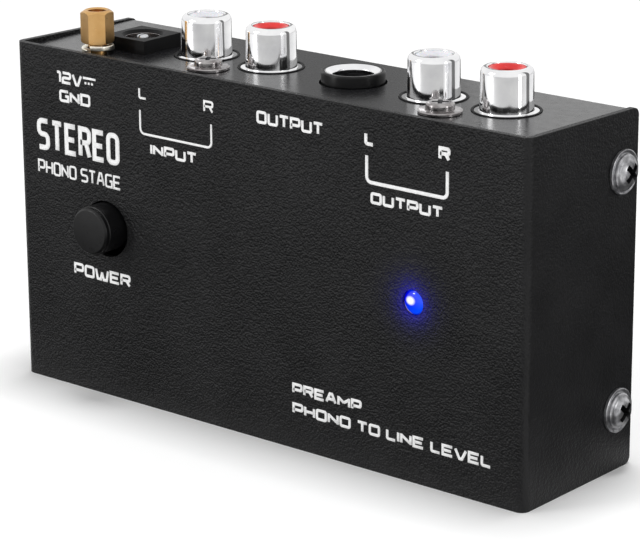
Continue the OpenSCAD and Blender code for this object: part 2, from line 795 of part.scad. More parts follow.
module power_jack_body() {
    half = dc_side / 2;
    color("#151517") translate([dc_x, dc_y, 0]) difference() {
        union() {
            span([-half, -half, dc_low], [half, half, dc_top]);
            span([-half, half - fit, dc_low], [half, board_face_y - dc_y, panel_under]);
        }
        cylinder_between(dc_well_r, dc_floor, dc_top + cut);
        translate([0, 0, dc_top - dc_bevel])
            cylinder(r1 = dc_well_r, r2 = dc_well_r + dc_bevel, h = dc_bevel + 0.01);
        cylinder_between(dc_pin_r + fit, dc_low - cut, dc_floor + cut);
        span([-tail_w / 2 - fit, 0, dc_tail_z - tail_t],
             [tail_w / 2 + fit, board_face_y - dc_y + cut, dc_tail_z + tail_t]);
        span([-half - cut, -spring_w / 2 - fit, dc_slot_low],
             [-dc_well_r + 1.5 * spring_t, spring_w / 2 + fit, dc_slot_high]);
        span([-half - cut, 0, dc_side_tail_z - tail_w / 2 - 2 * fit],
             [dc_spring_x + 2 * spring_t, board_face_y - dc_y + cut, dc_side_tail_z + tail_w / 2 + 2 * fit]);
    }
}

module power_jack_pin() {
    nose = dc_pin_r * 0.45;
    color("#d8d5c8") translate([dc_x, dc_y, 0]) difference() {
        union() {
            translate([0, 0, dc_tail_z - tail_t / 2]) rotate_extrude() {
                square([dc_pin_r, dc_pin_top - nose - dc_tail_z + tail_t / 2]);
                square([dc_pin_r - nose, dc_pin_top - dc_tail_z + tail_t / 2]);
                translate([dc_pin_r - nose, dc_pin_top - nose - dc_tail_z + tail_t / 2]) circle(r = nose);
            }
            cylinder_between(dc_pin_r + 0.7, dc_floor, dc_floor + 0.8);
            span([-tail_w / 2, dc_pin_r - 0.4, dc_tail_z - tail_t / 2],
                 [tail_w / 2, lead_end_y - dc_y, dc_tail_z + tail_t / 2]);
        }
        span([-dc_pin_slot_w / 2, -dc_pin_r - cut, dc_pin_top - dc_pin_slot_l],
             [dc_pin_slot_w / 2, dc_pin_r + cut, dc_pin_top + cut]);
    }
}

module power_jack_contact() {
    t = spring_t;
    outer = dc_spring_x;
    low = dc_slot_low + 3 * fit;
    top = dc_slot_high - 1.5 * t;
    bump = -dc_well_r + 0.9 * t;
    color("#c9b376") translate([dc_x, dc_y, 0]) {
        translate([0, spring_w / 2, 0]) rotate([90, 0, 0]) linear_extrude(spring_w) polygon([
            [outer, low], [outer, top], [outer + 1.25 * t, top],
            [bump, dc_floor + 8 * t], [bump, dc_floor + 6.5 * t], [bump - 1.25 * t, dc_floor + 4 * t],
            [bump - 2 * t, dc_floor + 4.5 * t], [bump - 0.9 * t, dc_floor + 7 * t],
            [outer + t, top - 3 * t], [outer + t, low]
        ]);
        span([outer, 0, dc_side_tail_z - tail_w / 2],
             [outer + t, lead_end_y - dc_y, dc_side_tail_z + tail_w / 2]);
    }
}

// ---------- ground terminal ----------

ground_y = text_y + ground_in;
nut_low = panel_top + split_washer_t + split_washer_rise + 0.1;
nut_high = nut_low + nut_h;
nut_corner_r = nut_af / 2 / cos(30);
thread_hold = 2;                 // thread that still holds the nut when it is backed off
stud_top = nut_low + nut_pitch * nut_turns + thread_hold;
nut_bore_l = stud_top - nut_low + 0.4;
inner_nut_af = 5.5;
inner_nut_h = 2.4;
lug_t = 0.5;
lug_r = 2.7;
lug_tail_w = 2.2;
lug_tail_l = 6.2;
split_washer_in_r = stud_r + 0.2;
wire_r = 0.6;
wire_foot = [-board_w / 2 + 3 * wire_r, dc_low - 2.6];   // where the ground wire meets the board
wire_end_gap = 0.15;             // solder between the wire's ends and what they meet
wire_drop = 7;                   // how far the wire runs straight out of each end
wire_in = 0.9;                   // from the lug's end in to the wire

module ground_stud() {
    color("#c79a4b") translate([ground_x, ground_y, 0])
        cylinder_between(stud_r, panel_under - lug_t - inner_nut_h - 1.2, stud_top);
}

module ground_inner_nut() {
    low = panel_under - lug_t - inner_nut_h;
    color("#c79a4b") translate([ground_x, ground_y, low]) rotate([0, 0, 30]) difference() {
        cylinder(r = inner_nut_af / 2 / cos(30), h = inner_nut_h, $fn = 6);
        translate([0, 0, -cut]) cylinder(r = stud_r + fit / 2, h = inner_nut_h + 2 * cut);
    }
}

module ground_lug() {
    color("#c9ccd0") translate([ground_x, ground_y, panel_under - lug_t]) difference() {
        union() {
            cylinder(r = lug_r, h = lug_t);
            translate([-lug_tail_l, -lug_tail_w / 2, 0]) cube([lug_tail_l, lug_tail_w, lug_t]);
        }
        translate([0, 0, -cut]) cylinder(r = stud_r + fit, h = lug_t + 2 * cut);
    }
}

module ground_wire() {
    start = [ground_x - lug_tail_l + wire_in, ground_y, panel_under - lug_t - wire_end_gap];
    foot = [wire_foot[0], board_face_y - wire_end_gap, wire_foot[1]];
    route = [for (i = [0:12])
        let (s = i / 12, r = 1 - s, a = r * r * r, b = 3 * s * r * r, c = 3 * s * s * r, d = s * s * s)
        a * start + b * (start - [0, 0, wire_drop]) + c * (foot - [0, wire_drop, 0]) + d * foot];
    color("#2f7d3a") wire(route, wire_r);
}

module ground_lock_washer() {
    section = [
        [split_washer_in_r, 0], [split_washer_r, 0],
        [split_washer_r, split_washer_t], [split_washer_in_r, split_washer_t]
    ];
    color("#b9b49f") translate([ground_x, ground_y, panel_top]) rotate([0, 0, -89]) mirror([0, 1, 0])
        climbing_ring(section, 346 / 360, split_washer_rise, 37);
}

module ground_nut() {
    bevel = 0.5;
    color("#cda35a") translate([ground_x, ground_y, 0]) difference() {
        intersection() {
            translate([0, 0, nut_low]) rotate([0, 0, nut_angle + 30])
                cylinder(r = nut_corner_r, h = nut_h, $fn = 6);
            union() {
                translate([0, 0, nut_low])
                    cylinder(r1 = nut_corner_r - bevel, r2 = nut_corner_r + bevel, h = 2 * bevel);
                cylinder_between(nut_corner_r + bevel, nut_low + 2 * bevel, nut_high - 2 * bevel);
                translate([0, 0, nut_high - 2 * bevel])
                    cylinder(r1 = nut_corner_r + bevel, r2 = nut_corner_r - 1.5 * bevel, h = 2 * bevel);
            }
        }
        cylinder_between(stud_r + nut_play, nut_low - cut, nut_low + nut_bore_l);
    }
}

// ---------- power button and switch ----------

cap_front_y = text_y - cap_proud;
switch_front_y = board_face_y - switch_h;
cap_back_y = switch_front_y - button_travel - 1.8;
cap_step = 0.2;                  // the cap is a little slimmer in front of its rim line
cap_step_l = 0.95;
cap_bevel = 0.3;
plunger_grip = 5;                // how far the plunger reaches into the cap
collar_front_y = switch_front_y + 1.2;
plunger_collar_l = 1;
plunger_collar_r = 2.25;
switch_well_r = 2.45;
switch_floor_y = board_face_y - 2.6;
terminal_xs = [-2, 0, 2];
terminal_zs = [-2.5, 2.5];
coil_wire = 0.35;

module power_button_cap() {
    color("#1a1a1c") translate([button_x, cap_back_y, button_z]) difference() {
        along_front() rotate_extrude() {
            length = cap_back_y - cap_front_y;
            square([cap_r, length - cap_step_l]);
            square([cap_r - cap_step, length - cap_bevel]);
            square([cap_r - cap_step - cap_bevel, length]);
            translate([cap_r - cap_step - cap_bevel, length - cap_bevel]) circle(r = cap_bevel);
        }
        translate([-plunger_side / 2 - fit / 2, -plunger_grip - 0.2, -plunger_side / 2 - fit / 2])
            cube([plunger_side + fit, plunger_grip + 0.2 + cut, plunger_side + fit]);
    }
}

module switch_plunger() {
    color("#e4e2da") translate([button_x, 0, button_z]) {
        span([-plunger_side / 2, cap_back_y - plunger_grip, -plunger_side / 2],
             [plunger_side / 2, collar_front_y + fit, plunger_side / 2]);
        translate([0, collar_front_y + plunger_collar_l, 0])
            along_front() cylinder(r = plunger_collar_r, h = plunger_collar_l);
    }
}

module switch_spring() {
    free_l = switch_floor_y - collar_front_y - plunger_collar_l;
    middle_r = switch_well_r - coil_wire / 2 - 0.25;
    section = [for (k = [0:5]) [middle_r + coil_wire / 2 * cos(60 * k), coil_wire / 2 * sin(60 * k)]];
    color("#c9ccd0") translate([button_x, switch_floor_y - coil_wire / 2, button_z])
        along_front() climbing_ring(section, 5, free_l - coil_wire, 91);
}

module switch_housing() {
    half = switch_side / 2;
    hole = plunger_side / 2 + 2 * fit;
    color("#2b2b2e") translate([button_x, 0, button_z]) difference() {
        span([-half, switch_front_y, -half], [half, board_face_y, half]);
        translate([0, switch_floor_y, 0])
            along_front() cylinder(r = switch_well_r, h = switch_floor_y - collar_front_y + fit);
        span([-hole, switch_front_y - cut, -hole], [hole, collar_front_y + cut, hole]);
    }
}

module switch_terminals() {
    color("#c9ccd0") for (x = terminal_xs, z = terminal_zs) {
        lead(button_x + x, button_z + z, board_face_y);
    }
}

// A soldered lead from a piece's foot at that depth through the board
module lead(x, z, from_y) {
    translate([x, lead_end_y, z]) along_front() cylinder(r = lead_r, h = lead_end_y - from_y, $fn = 16);
}

// ---------- lamp ----------

lens_tip_y = text_y + 0.05;
lens_flange_y = lens_tip_y + lens_l;
lens_flange_r = lens_r + 0.4;
lamp_leads_x = [-1.27, 1.27];

module lamp_lens() {
    color("#2b4dff") translate([lamp_x, lens_flange_y, lamp_z]) along_front() rotate_extrude() {
        square([lens_r, lens_l - lens_r]);
        square([lens_flange_r, 1]);
        intersection() {
            translate([0, lens_l - lens_r]) circle(r = lens_r);
            translate([0, lens_l - lens_r - fit]) square([lens_r, lens_r + 2 * fit]);
        }
    }
}

module lamp_leads() {
    color("#c9ccd0") for (x = lamp_leads_x) {
        lead(lamp_x + x, lamp_z, lens_flange_y);
    }
}

// ---------- parts on the board ----------

// Middles of the parts, in X and Z: the upper ones hang from the panel, the lower ones stand on the floor
function hung(x, drop) = [x, panel_under - drop];
function stood(x, rise) = [x, floor_top + rise];

chip_spot = hung(-12, 23.7);
chip_size = [9.6, 6.4, 3.4];
chip_leg_pitch = 2.54;
chip_row = 7.62;
electrolytic_spots = [
    hung(-20.5, 24.7), hung(-3.5, 23.7), hung(21, 17.7),
    stood(-22, 18.2), stood(-12, 18.2), stood(-3, 18.2), stood(21, 25.2), stood(36.5, 20.2)
];
electrolytic_r = 2.5;
electrolytic_l = 11;
electrolytic_pitch = 2;
supply_cap_spot = stood(-36.5, 17.2);
supply_cap_r = 3.15;
supply_cap_l = 11.5;
supply_cap_pitch = 2.5;
film_spots = [hung(-22, 15.2), hung(-7, 15.2), hung(27.8, 15.1), hung(27.8, 19.7)];
film_size = [7.2, 2.6, 6.5];
film_pitch = 5;
disc_spots = [hung(-14.5, 15.2), stood(4, 19.2), stood(12, 19.2), stood(24, 19.2)];
disc_r = 2.6;
disc_t = 1.8;
disc_pitch = 2.5;
resistor_first = stood(-26, 3.7);
resistor_step = [14, 4];
resistor_spots = [for (row = [0, 1], place = [0:3])
    resistor_first + [resistor_step[0] * place, resistor_step[1] * row]];
resistor_r = 1.15;
resistor_l = 6.3;
resistor_pitch = 10;
diode_spot = stood(27.2, 5.7);
diode_r = 1.35;
diode_l = 5.2;
diode_pitch = 9;
regulator_spot = [button_x + 7.2, button_z - 2.25];
regulator_r = 2.3;
regulator_h = 4.7;
regulator_flat = 1.2;
regulator_gap = 2.5;             // legs between the board and the body
regulator_pitch = 1.27;
choke_spot = stood(30.5, 18.2);
choke_r = 3;
choke_l = 7;
choke_pitch = 3;
body_gap = 0.3;                  // small parts stand this far off the board

// Every round soldered lead, so that the board's holes follow the parts
lead_spots = concat(
    [for (side = [-1, 1], k = [-1.5:1:1.5]) chip_spot + [k * chip_leg_pitch, side * chip_row / 2]],
    [for (s = electrolytic_spots, side = [-1, 1]) s + [side * electrolytic_pitch / 2, 0]],
    [for (side = [-1, 1]) supply_cap_spot + [side * supply_cap_pitch / 2, 0]],
    [for (s = film_spots, side = [-1, 1]) s + [side * film_pitch / 2, 0]],
    [for (s = disc_spots, side = [-1, 1]) s + [side * disc_pitch / 2, 0]],
    [for (s = resistor_spots, side = [-1, 1]) s + [side * resistor_pitch / 2, 0]],
    [for (side = [-1, 1]) diode_spot + [side * diode_pitch / 2, 0]],
    [for (k = [-1, 0, 1]) regulator_spot + [k * regulator_pitch, 0]],
    [for (side = [-1, 1]) choke_spot + [side * choke_pitch / 2, 0]],
    [for (x = terminal_xs, z = terminal_zs) [button_x + x, button_z + z]],
    [for (x = lamp_leads_x) [lamp_x + x, lamp_z]]
);

// Every stamped tail of the jacks
tail_spots = concat(
    [for (x = jack_xs, z = [contact_tail_z, tag_tail_z]) [x, z]],
    [[line_x, ferrule_low + tail_t / 2]],
    [for (side = [-1, 1]) [line_x + side * (line_spring_x - spring_t / 2), line_tail_z]],
    [[dc_x, dc_tail_z], [dc_x + dc_spring_x + spring_t / 2, dc_side_tail_z]]
);

module op_amp_chip() {
    low_y = board_face_y - 0.6;
    color("#222225") translate([chip_spot[0], 0, chip_spot[1]]) difference() {
        span([-chip_size[0] / 2, low_y - chip_size[2], -chip_size[1] / 2],
             [chip_size[0] / 2, low_y, chip_size[1] / 2]);
        translate([-chip_size[0] / 2, low_y - chip_size[2] + 0.4, 0])
            along_front() cylinder(r = 0.9, h = 0.4 + cut);
    }
}

module op_amp_legs() {
    level_y = board_face_y - 0.6 - chip_size[2] / 2;
    inner = chip_size[1] / 2;
    outer = chip_row / 2;
    color("#c9ccd0") for (side = [-1, 1], k = [-1.5:1:1.5]) {
        translate([chip_spot[0] + k * chip_leg_pitch, 0, chip_spot[1]]) scale([1, 1, side])
            span([-0.5, level_y - 0.125, inner], [0.5, level_y + 0.125, outer + lead_r / 2]);
        lead(chip_spot[0] + k * chip_leg_pitch, chip_spot[1] + side * outer, level_y);
    }
}

module can(spot, radius, length, pitch) {
    rim = 0.35;
    translate([spot[0], board_face_y - body_gap, spot[1]]) along_front() rotate_extrude() {
        square([radius, length - rim]);
        square([radius - rim, length]);
        translate([radius - rim, length - rim]) circle(r = rim);
    }
    for (side = [-1, 1]) {
        lead(spot[0] + side * pitch / 2, spot[1], board_face_y - body_gap - fit);
    }
}

module electrolytic_capacitors() {
    color("#1b2a55") for (spot = electrolytic_spots) {
        can(spot, electrolytic_r, electrolytic_l, electrolytic_pitch);
    }
}

module supply_capacitor() {
    color("#232327") can(supply_cap_spot, supply_cap_r, supply_cap_l, supply_cap_pitch);
}

module supply_choke() {
    color("#33302c") can(choke_spot, choke_r, choke_l, choke_pitch);
}

module film_capacitors() {
    half = film_size / 2;
    low_y = board_face_y - body_gap;
    color("#8d2a23") for (spot = film_spots) {
        span([spot[0] - half[0], low_y - film_size[2], spot[1] - half[1]],
             [spot[0] + half[0], low_y, spot[1] + half[1]]);
        for (side = [-1, 1]) {
            lead(spot[0] + side * film_pitch / 2, spot[1], low_y - fit);
        }
    }
}

module disc_capacitors() {
    color("#c58a3a") for (spot = disc_spots) {
        translate([spot[0], board_face_y - 1.2 - disc_r, spot[1]])
            cylinder(r = disc_r, h = disc_t, center = true);
        for (side = [-1, 1]) {
            lead(spot[0] + side * disc_pitch / 2, spot[1], board_face_y - 1.9);
        }
    }
}

// A body lying along X between two leads that bend down to the board
module lying_part(spot, radius, length, pitch) {
    axis_y = board_face_y - radius - body_gap;
    translate([spot[0], axis_y, spot[1]]) {
        along_x() cylinder(r = radius, h = length, center = true, $fn = 24);
        along_x() cylinder(r = lead_r - 0.05, h = pitch, center = true, $fn = 16);
    }
    for (side = [-1, 1]) {
        lead(spot[0] + side * pitch / 2, spot[1], axis_y - lead_r);
    }
}

module resistors() {
    color("#7ea6c4") for (spot = resistor_spots) {
        lying_part(spot, resistor_r, resistor_l, resistor_pitch);
    }
}

module supply_diode() {
    color("#2a2a2d") lying_part(diode_spot, diode_r, diode_l, diode_pitch);
}

module voltage_regulator() {
    low_y = board_face_y - regulator_gap;
    color("#26262a") {
        difference() {
            translate([regulator_spot[0], low_y, regulator_spot[1]])
                along_front() cylinder(r = regulator_r, h = regulator_h);
            span([regulator_spot[0] - 2 * regulator_r, low_y - regulator_h - cut,
                  regulator_spot[1] + regulator_flat],
                 [regulator_spot[0] + 2 * regulator_r, low_y + cut, regulator_spot[1] + 2 * regulator_r]);
        }
        for (k = [-1, 0, 1]) {
            lead(regulator_spot[0] + k * regulator_pitch, regulator_spot[1], low_y - fit);
        }
    }
}

// ---------- the model ----------

front_cover();
chassis();
case_screws();
rubber_feet();
circuit_board();
board_standoffs();
board_screws();
input_jack_housing();
output_jack_housing();
jack_fixing_screws();
input_left_shell();
input_right_shell();
output_left_shell();
output_right_shell();
input_left_insulator();
input_right_insulator();
output_left_insulator();
output_right_insulator();
input_left_contact();
input_right_contact();
output_left_contact();
output_right_contact();
line_jack_body();
line_jack_ferrule();
line_jack_tip_contact();
line_jack_ring_contact();
power_jack_body();
power_jack_pin();
power_jack_contact();
ground_stud();
ground_inner_nut();
ground_lug();
ground_wire();
ground_lock_washer();
ground_nut();
power_button_cap();
switch_plunger();
switch_spring();
switch_housing();
switch_terminals();
lamp_lens();
lamp_leads();
op_amp_chip();
op_amp_legs();
electrolytic_capacitors();
supply_capacitor();
film_capacitors();
disc_capacitors();
resistors();
supply_diode();
voltage_regulator();
supply_choke();
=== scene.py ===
# %% [markdown]
# # Dressing a phono preamp in Blender
# A phono preamp is a small box that lifts a turntable's faint signal. This one is two bent steel sheets
# with jacks along the top edge, a push button and a lamp in the text face, and two screws in each side
# wall. The shapes that carry the piece come from the CAD model, which is loaded first and never moved. This
# lesson gives it its finishes, and replaces the small shiny pieces with ones whose edges are rounded like
# real metal.

# %% Load the CAD model as a fixed frame
import math

import bmesh
import bpy
from mathutils import Matrix, Vector


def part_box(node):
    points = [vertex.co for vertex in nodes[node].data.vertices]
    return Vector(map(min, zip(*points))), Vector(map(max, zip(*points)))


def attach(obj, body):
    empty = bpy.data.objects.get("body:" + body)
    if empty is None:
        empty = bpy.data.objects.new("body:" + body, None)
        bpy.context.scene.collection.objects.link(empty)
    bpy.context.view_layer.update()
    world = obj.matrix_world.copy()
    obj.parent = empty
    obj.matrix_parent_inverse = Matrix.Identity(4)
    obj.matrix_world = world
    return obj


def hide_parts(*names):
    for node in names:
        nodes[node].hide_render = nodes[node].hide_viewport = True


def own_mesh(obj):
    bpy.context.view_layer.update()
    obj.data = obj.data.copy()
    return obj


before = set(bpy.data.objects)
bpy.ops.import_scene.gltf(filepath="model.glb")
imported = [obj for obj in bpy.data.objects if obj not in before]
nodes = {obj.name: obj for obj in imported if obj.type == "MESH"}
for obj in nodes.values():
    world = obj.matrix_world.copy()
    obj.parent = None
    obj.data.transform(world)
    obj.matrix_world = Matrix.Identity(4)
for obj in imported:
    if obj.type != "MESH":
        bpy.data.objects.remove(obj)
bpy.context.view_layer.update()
scene = bpy.context.scene

# %% [markdown]
# ## The sizes that the pieces share
# Blender works in metres here, and small hardware is easier to think about in millimetres, so one constant
# turns one into the other. New pieces take their places from the boxes of the CAD's own nodes, so they stay
# true to it. A box comes from a mesh, whose last digits are noise, so it is rounded to a hundredth of a
# millimetre.

# %% Shared sizes
MM = 0.001


def box_mm(node):
    low, high = ([round(value / MM, 2) for value in corner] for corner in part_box(node))
    return low, high


def middle_mm(node):
    return [round((low + high) / 2, 2) for low, high in zip(*box_mm(node))]


FACE_Y = box_mm("front_cover")[0][1]               # outer side of the text face
WALL_X = box_mm("front_cover")[1][0]               # outer side of the right wall
PANEL_Z = box_mm("chassis")[1][2]                  # outer side of the jack panel
PANEL_UNDER = box_mm("input_jack_housing")[1][2]   # its inner side, where the housings stop
JACKS = {name: middle_mm(name + "_insulator")[0]
         for name in ("input_left", "input_right", "output_left", "output_right")}
JACK_Y = middle_mm("input_left_insulator")[1]
print("jack panel at", PANEL_Z, "mm, jacks at x", list(JACKS.values()))

# %% [markdown]
# ## The camera
# A camera is fixed by where it stands, which way it looks and how long its lens is. Three axes are worked
# out from two angles, as a tripod head would be set: one turn round the upright axis and one tilt. A small
# roll is added last. The long lens stands far off and flattens the perspective.

# %% Camera
CAMERA_AT = (288.80, -344.13, 162.83)
LENS_MM, SENSOR_MM = 161.77, 36.0
turn, tilt, roll = math.radians(39.874), math.radians(17.118), math.radians(-0.333)
back = Vector((math.sin(turn) * math.cos(tilt), -math.cos(turn) * math.cos(tilt), math.sin(tilt)))
level = Vector((math.cos(turn), math.sin(turn), 0.0))
upright = back.cross(level)
right = math.cos(roll) * level + math.sin(roll) * upright
up = math.cos(roll) * upright - math.sin(roll) * level
lens = bpy.data.cameras.new("camera")
lens.sensor_fit = "HORIZONTAL"
lens.sensor_width = SENSOR_MM
lens.lens = LENS_MM
lens.clip_start = 0.01
lens.clip_end = 20.0
camera = bpy.data.objects.new("camera", lens)
camera.matrix_world = Matrix((right, up, back)).transposed().to_4x4()
camera.location = Vector(CAMERA_AT) * MM
scene.collection.objects.link(camera)
scene.camera = camera
scene.view_settings.view_transform = "Standard"
print("camera is", round(camera.location.length, 3), "m from the origin")

# %% [markdown]
# ## Colours and nodes
# Colours are written as hex values, which are how a screen shows them. A shader adds light, so it needs
# them linear, and one function turns them. Nodes are added by one small function, too: it makes the node,
# sets its properties, and either links or sets each input that is named.

# %% Colour and node helpers
def linear(hex_colour):
    shown = [int(hex_colour[i:i + 2], 16) / 255 for i in (1, 3, 5)]
    return [c / 12.92 if c <= 0.04045 else ((c + 0.055) / 1.055) ** 2.4 for c in shown] + [1.0]


def add(tree, kind, inputs=None, **settings):
    node = tree.nodes.new(kind)
    for name, value in settings.items():
        setattr(node, name, value)
    for name, value in (inputs or {}).items():
        if isinstance(value, bpy.types.NodeSocket):
            tree.links.new(value, node.inputs[name])
        else:
            node.inputs[name].default_value = value
    return node


print("mid grey #808080 is", round(linear("#808080")[0], 3), "linear")

# %% [markdown]
# ## The studio
# The object stands on a white sweep in plain soft light. What the camera sees of the world, and what metal
# and glass mirror, is plain white. Light that only warms up matt surfaces comes from a dimmer, even world,
# so that a colour renders about as it is written. Light Path tells the two kinds of ray apart.

# %% World
SEEN_LIGHT, MATT_LIGHT = 1.0, 0.55
world = bpy.data.worlds.new("studio")
world.use_nodes = True
scene.world = world
tree = world.node_tree
tree.nodes.clear()
path = add(tree, "ShaderNodeLightPath")
seen = add(tree, "ShaderNodeMath", {0: path.outputs["Is Camera Ray"], 1: path.outputs["Is Glossy Ray"]},
           operation="MAXIMUM")
seen = add(tree, "ShaderNodeMath", {0: seen.outputs[0], 1: path.outputs["Is Transmission Ray"]},
           operation="MAXIMUM")
dim = add(tree, "ShaderNodeBackground", {"Color": linear("#ffffff"), "Strength": MATT_LIGHT})
white = add(tree, "ShaderNodeBackground", {"Color": linear("#ffffff"), "Strength": SEEN_LIGHT})
mixed = add(tree, "ShaderNodeMixShader", {0: seen.outputs[0], 1: dim.outputs[0], 2: white.outputs[0]})
add(tree, "ShaderNodeOutputWorld", {"Surface": mixed.outputs[0]})
print("world lights matt surfaces at", MATT_LIGHT, "of white")

# %% [markdown]
# The floor has to vanish into the white, and still take the object's soft shadow. It is matt white paper,
# lit so that it comes out just past white where nothing stands in the light's way.

# %% Floor
floor_material = bpy.data.materials.new("white_sweep")
floor_material.use_nodes = True
tree = floor_material.node_tree
tree.nodes.clear()
matt = add(tree, "ShaderNodeBsdfDiffuse", {"Color": linear("#fdfdfd")})
add(tree, "ShaderNodeOutputMaterial", {"Surface": matt.outputs[0]})
sheet = bmesh.new()
bmesh.ops.create_grid(sheet, x_segments=1, y_segments=1, size=6.0)
floor_mesh = bpy.data.meshes.new("floor")
sheet.to_mesh(floor_mesh)
sheet.free()
floor_mesh.materials.append(floor_material)
floor = bpy.data.objects.new("floor", floor_mesh)
scene.collection.objects.link(floor)
print("floor is", round(floor.dimensions.x, 1), "m wide")

# %% [markdown]
# A softbox hangs right over the case, so that its shadow stays close round the foot. It is kept out of
# mirrors, where it would make a white blob on every shoulder. A wide one stands high at the front left. A
# small one stands low under it: it throws the button's shadow to the right, and makes the coat's grain
# sparkle. A low narrow one at the right brightens the right wall's bend. Places and widths are in metres,
# and power is in watts.

# %% Lamps
def softbox(name, place, aim, width, height, power, mirrored=True):
    lamp = bpy.data.lights.new(name, "AREA")
    lamp.shape = "RECTANGLE"
    lamp.size, lamp.size_y = width, height
    lamp.energy = power
    box = bpy.data.objects.new(name, lamp)
    box.location = place
    box.rotation_euler = (Vector(aim) - Vector(place)).to_track_quat("-Z", "Y").to_euler()
    box.visible_glossy = mirrored
    scene.collection.objects.link(box)


softbox("overhead_lamp", (0.0, 0.08, 1.0), (0, 0, 0.03), 0.26, 0.26, 5.2, mirrored=False)
softbox("front_left_lamp", (-0.5, -0.62, 0.55), (0, 0, 0.04), 0.36, 0.36, 1.4)
softbox("button_lamp", (-0.56, -0.85, 0.10), (0, 0, 0.03), 0.10, 0.10, 1.5)
softbox("right_lamp", (0.7, 0.02, 0.16), (0, 0, 0.03), 0.10, 0.32, 0.6)

# %% [markdown]
# Chrome in an all-white room has no edges, and black paint in one looks grey, because both mirror the room.
# A studio stands and lays dark cards round such an object, where its sides mirror them. The cards here are
# sheets that glow with a fixed grey instead of being lit, and show only in reflections: they paint dark
# reflections onto the object. A card may fade along Y from one grey to another.

# %% A card that only mirrors see
def dark_card(name, corners, grey, far_grey=None, near_y=0.0, far_y=1.0):
    paper = bpy.data.materials.new(name)
    paper.use_nodes = True
    tree = paper.node_tree
    tree.nodes.clear()
    # The card glows with its own grey and is seen only in mirrors: a painted reflection
    sheet = add(tree, "ShaderNodeEmission", {"Color": linear(grey), "Strength": 1.0})
    add(tree, "ShaderNodeOutputMaterial", {"Surface": sheet.outputs[0]})
    if far_grey:
        place = add(tree, "ShaderNodeTexCoord")
        axes = add(tree, "ShaderNodeSeparateXYZ", {"Vector": place.outputs["Object"]})
        spread = add(tree, "ShaderNodeMapRange", {"Value": axes.outputs["Y"], "From Min": near_y,
                                                  "From Max": far_y})
        ramp = add(tree, "ShaderNodeValToRGB", {"Fac": spread.outputs["Result"]})
        ramp.color_ramp.elements[0].color = linear(grey)
        ramp.color_ramp.elements[1].color = linear(far_grey)
        tree.links.new(ramp.outputs["Color"], sheet.inputs["Color"])
    bm = bmesh.new()
    bm.faces.new([bm.verts.new(Vector(c)) for c in corners])
    mesh = bpy.data.meshes.new(name)
    bm.to_mesh(mesh)
    bm.free()
    mesh.materials.append(paper)
    card = bpy.data.objects.new(name, mesh)
    scene.collection.objects.link(card)
    card.visible_camera = False
    card.visible_diffuse = False
    card.visible_shadow = False
    card.visible_transmission = False


print("a card of #464646 mirrors as", round(linear("#464646")[0], 3), "of white")

# %% [markdown]
# One card lies before the face and fades towards white, and one lies round the right end and the back.
# Three stand up: two at the right and one behind on the left. The lying ones are held half a millimetre
# over the floor, so that the two don't share a plane.

# %% Dark cards
CARD_LIFT = 0.5 * MM


def lying(*places):
    return [(x, y, CARD_LIFT) for x, y in places]


def standing(start, end, height):
    return [(*start, 0.0), (*end, 0.0), (*end, height), (*start, height)]


dark_card("front_card", lying((-0.45, -0.20), (0.22, -0.20), (0.052, -0.016), (-0.45, -0.016)), "#1c1c1c",
          far_grey="#f4f4f4", near_y=-0.05, far_y=-0.13)
dark_card("back_card", lying((0.058, -0.004), (0.40, -0.004), (0.40, 0.34), (-0.30, 0.34), (-0.30, 0.02),
                             (0.058, 0.02)), "#464646")
dark_card("right_card", standing((0.13, 0.06), (0.13, 0.12), 0.20), "#7a7a7a")
dark_card("streak_card", standing((0.13, -0.055), (0.13, -0.035), 0.05), "#3c3c3c")
dark_card("left_back_card", standing((-0.27, 0.40), (-0.36, 0.37), 0.45), "#a0a0a0")

# %% [markdown]
# ## Finishes
# Each finish starts from a Principled shader with the colour, roughness and metal of the real stuff. Three
# small helpers then break up its evenness the way a made surface is uneven: one varies the colour, one the
# polish and one the height. Their sizes are given in millimetres, because a pattern looks right only at its
# real size.

# %% Helpers for finishes
BEVEL_SAMPLES = 6
NOISE_LOW, NOISE_HIGH = 0.3, 0.7                   # most of a noise's values lie between these


def finish(name, colour, roughness, metallic=0.0, **sockets):
    material = bpy.data.materials.new(name)
    material.use_nodes = True
    tree = material.node_tree
    shader = tree.nodes["Principled BSDF"]
    shader.inputs["Base Color"].default_value = linear(colour)
    shader.inputs["Roughness"].default_value = roughness
    shader.inputs["Metallic"].default_value = metallic
    for socket, value in sockets.items():
        shader.inputs[socket.replace("_", " ")].default_value = value
    place = add(tree, "ShaderNodeTexCoord")
    return material, tree, shader, place.outputs["Object"]


def vary_colour(tree, shader, place, dark, light, size_mm, detail=3.0):
    noise = add(tree, "ShaderNodeTexNoise", {"Vector": place, "Scale": 1 / (size_mm * MM),
                                             "Detail": detail})
    ramp = add(tree, "ShaderNodeValToRGB", {"Fac": noise.outputs["Fac"]})
    low_end, high_end = ramp.color_ramp.elements
    low_end.position, high_end.position = NOISE_LOW, NOISE_HIGH
    low_end.color, high_end.color = linear(dark), linear(light)
    tree.links.new(ramp.outputs["Color"], shader.inputs["Base Color"])


def vary_polish(tree, shader, place, low, high, size_mm):
    noise = add(tree, "ShaderNodeTexNoise", {"Vector": place, "Scale": 1 / (size_mm * MM), "Detail": 4.0})
    spread = add(tree, "ShaderNodeMapRange", {"Value": noise.outputs["Fac"], "From Min": NOISE_LOW,
                                              "From Max": NOISE_HIGH, "To Min": low, "To Max": high})
    tree.links.new(spread.outputs["Result"], shader.inputs["Roughness"])


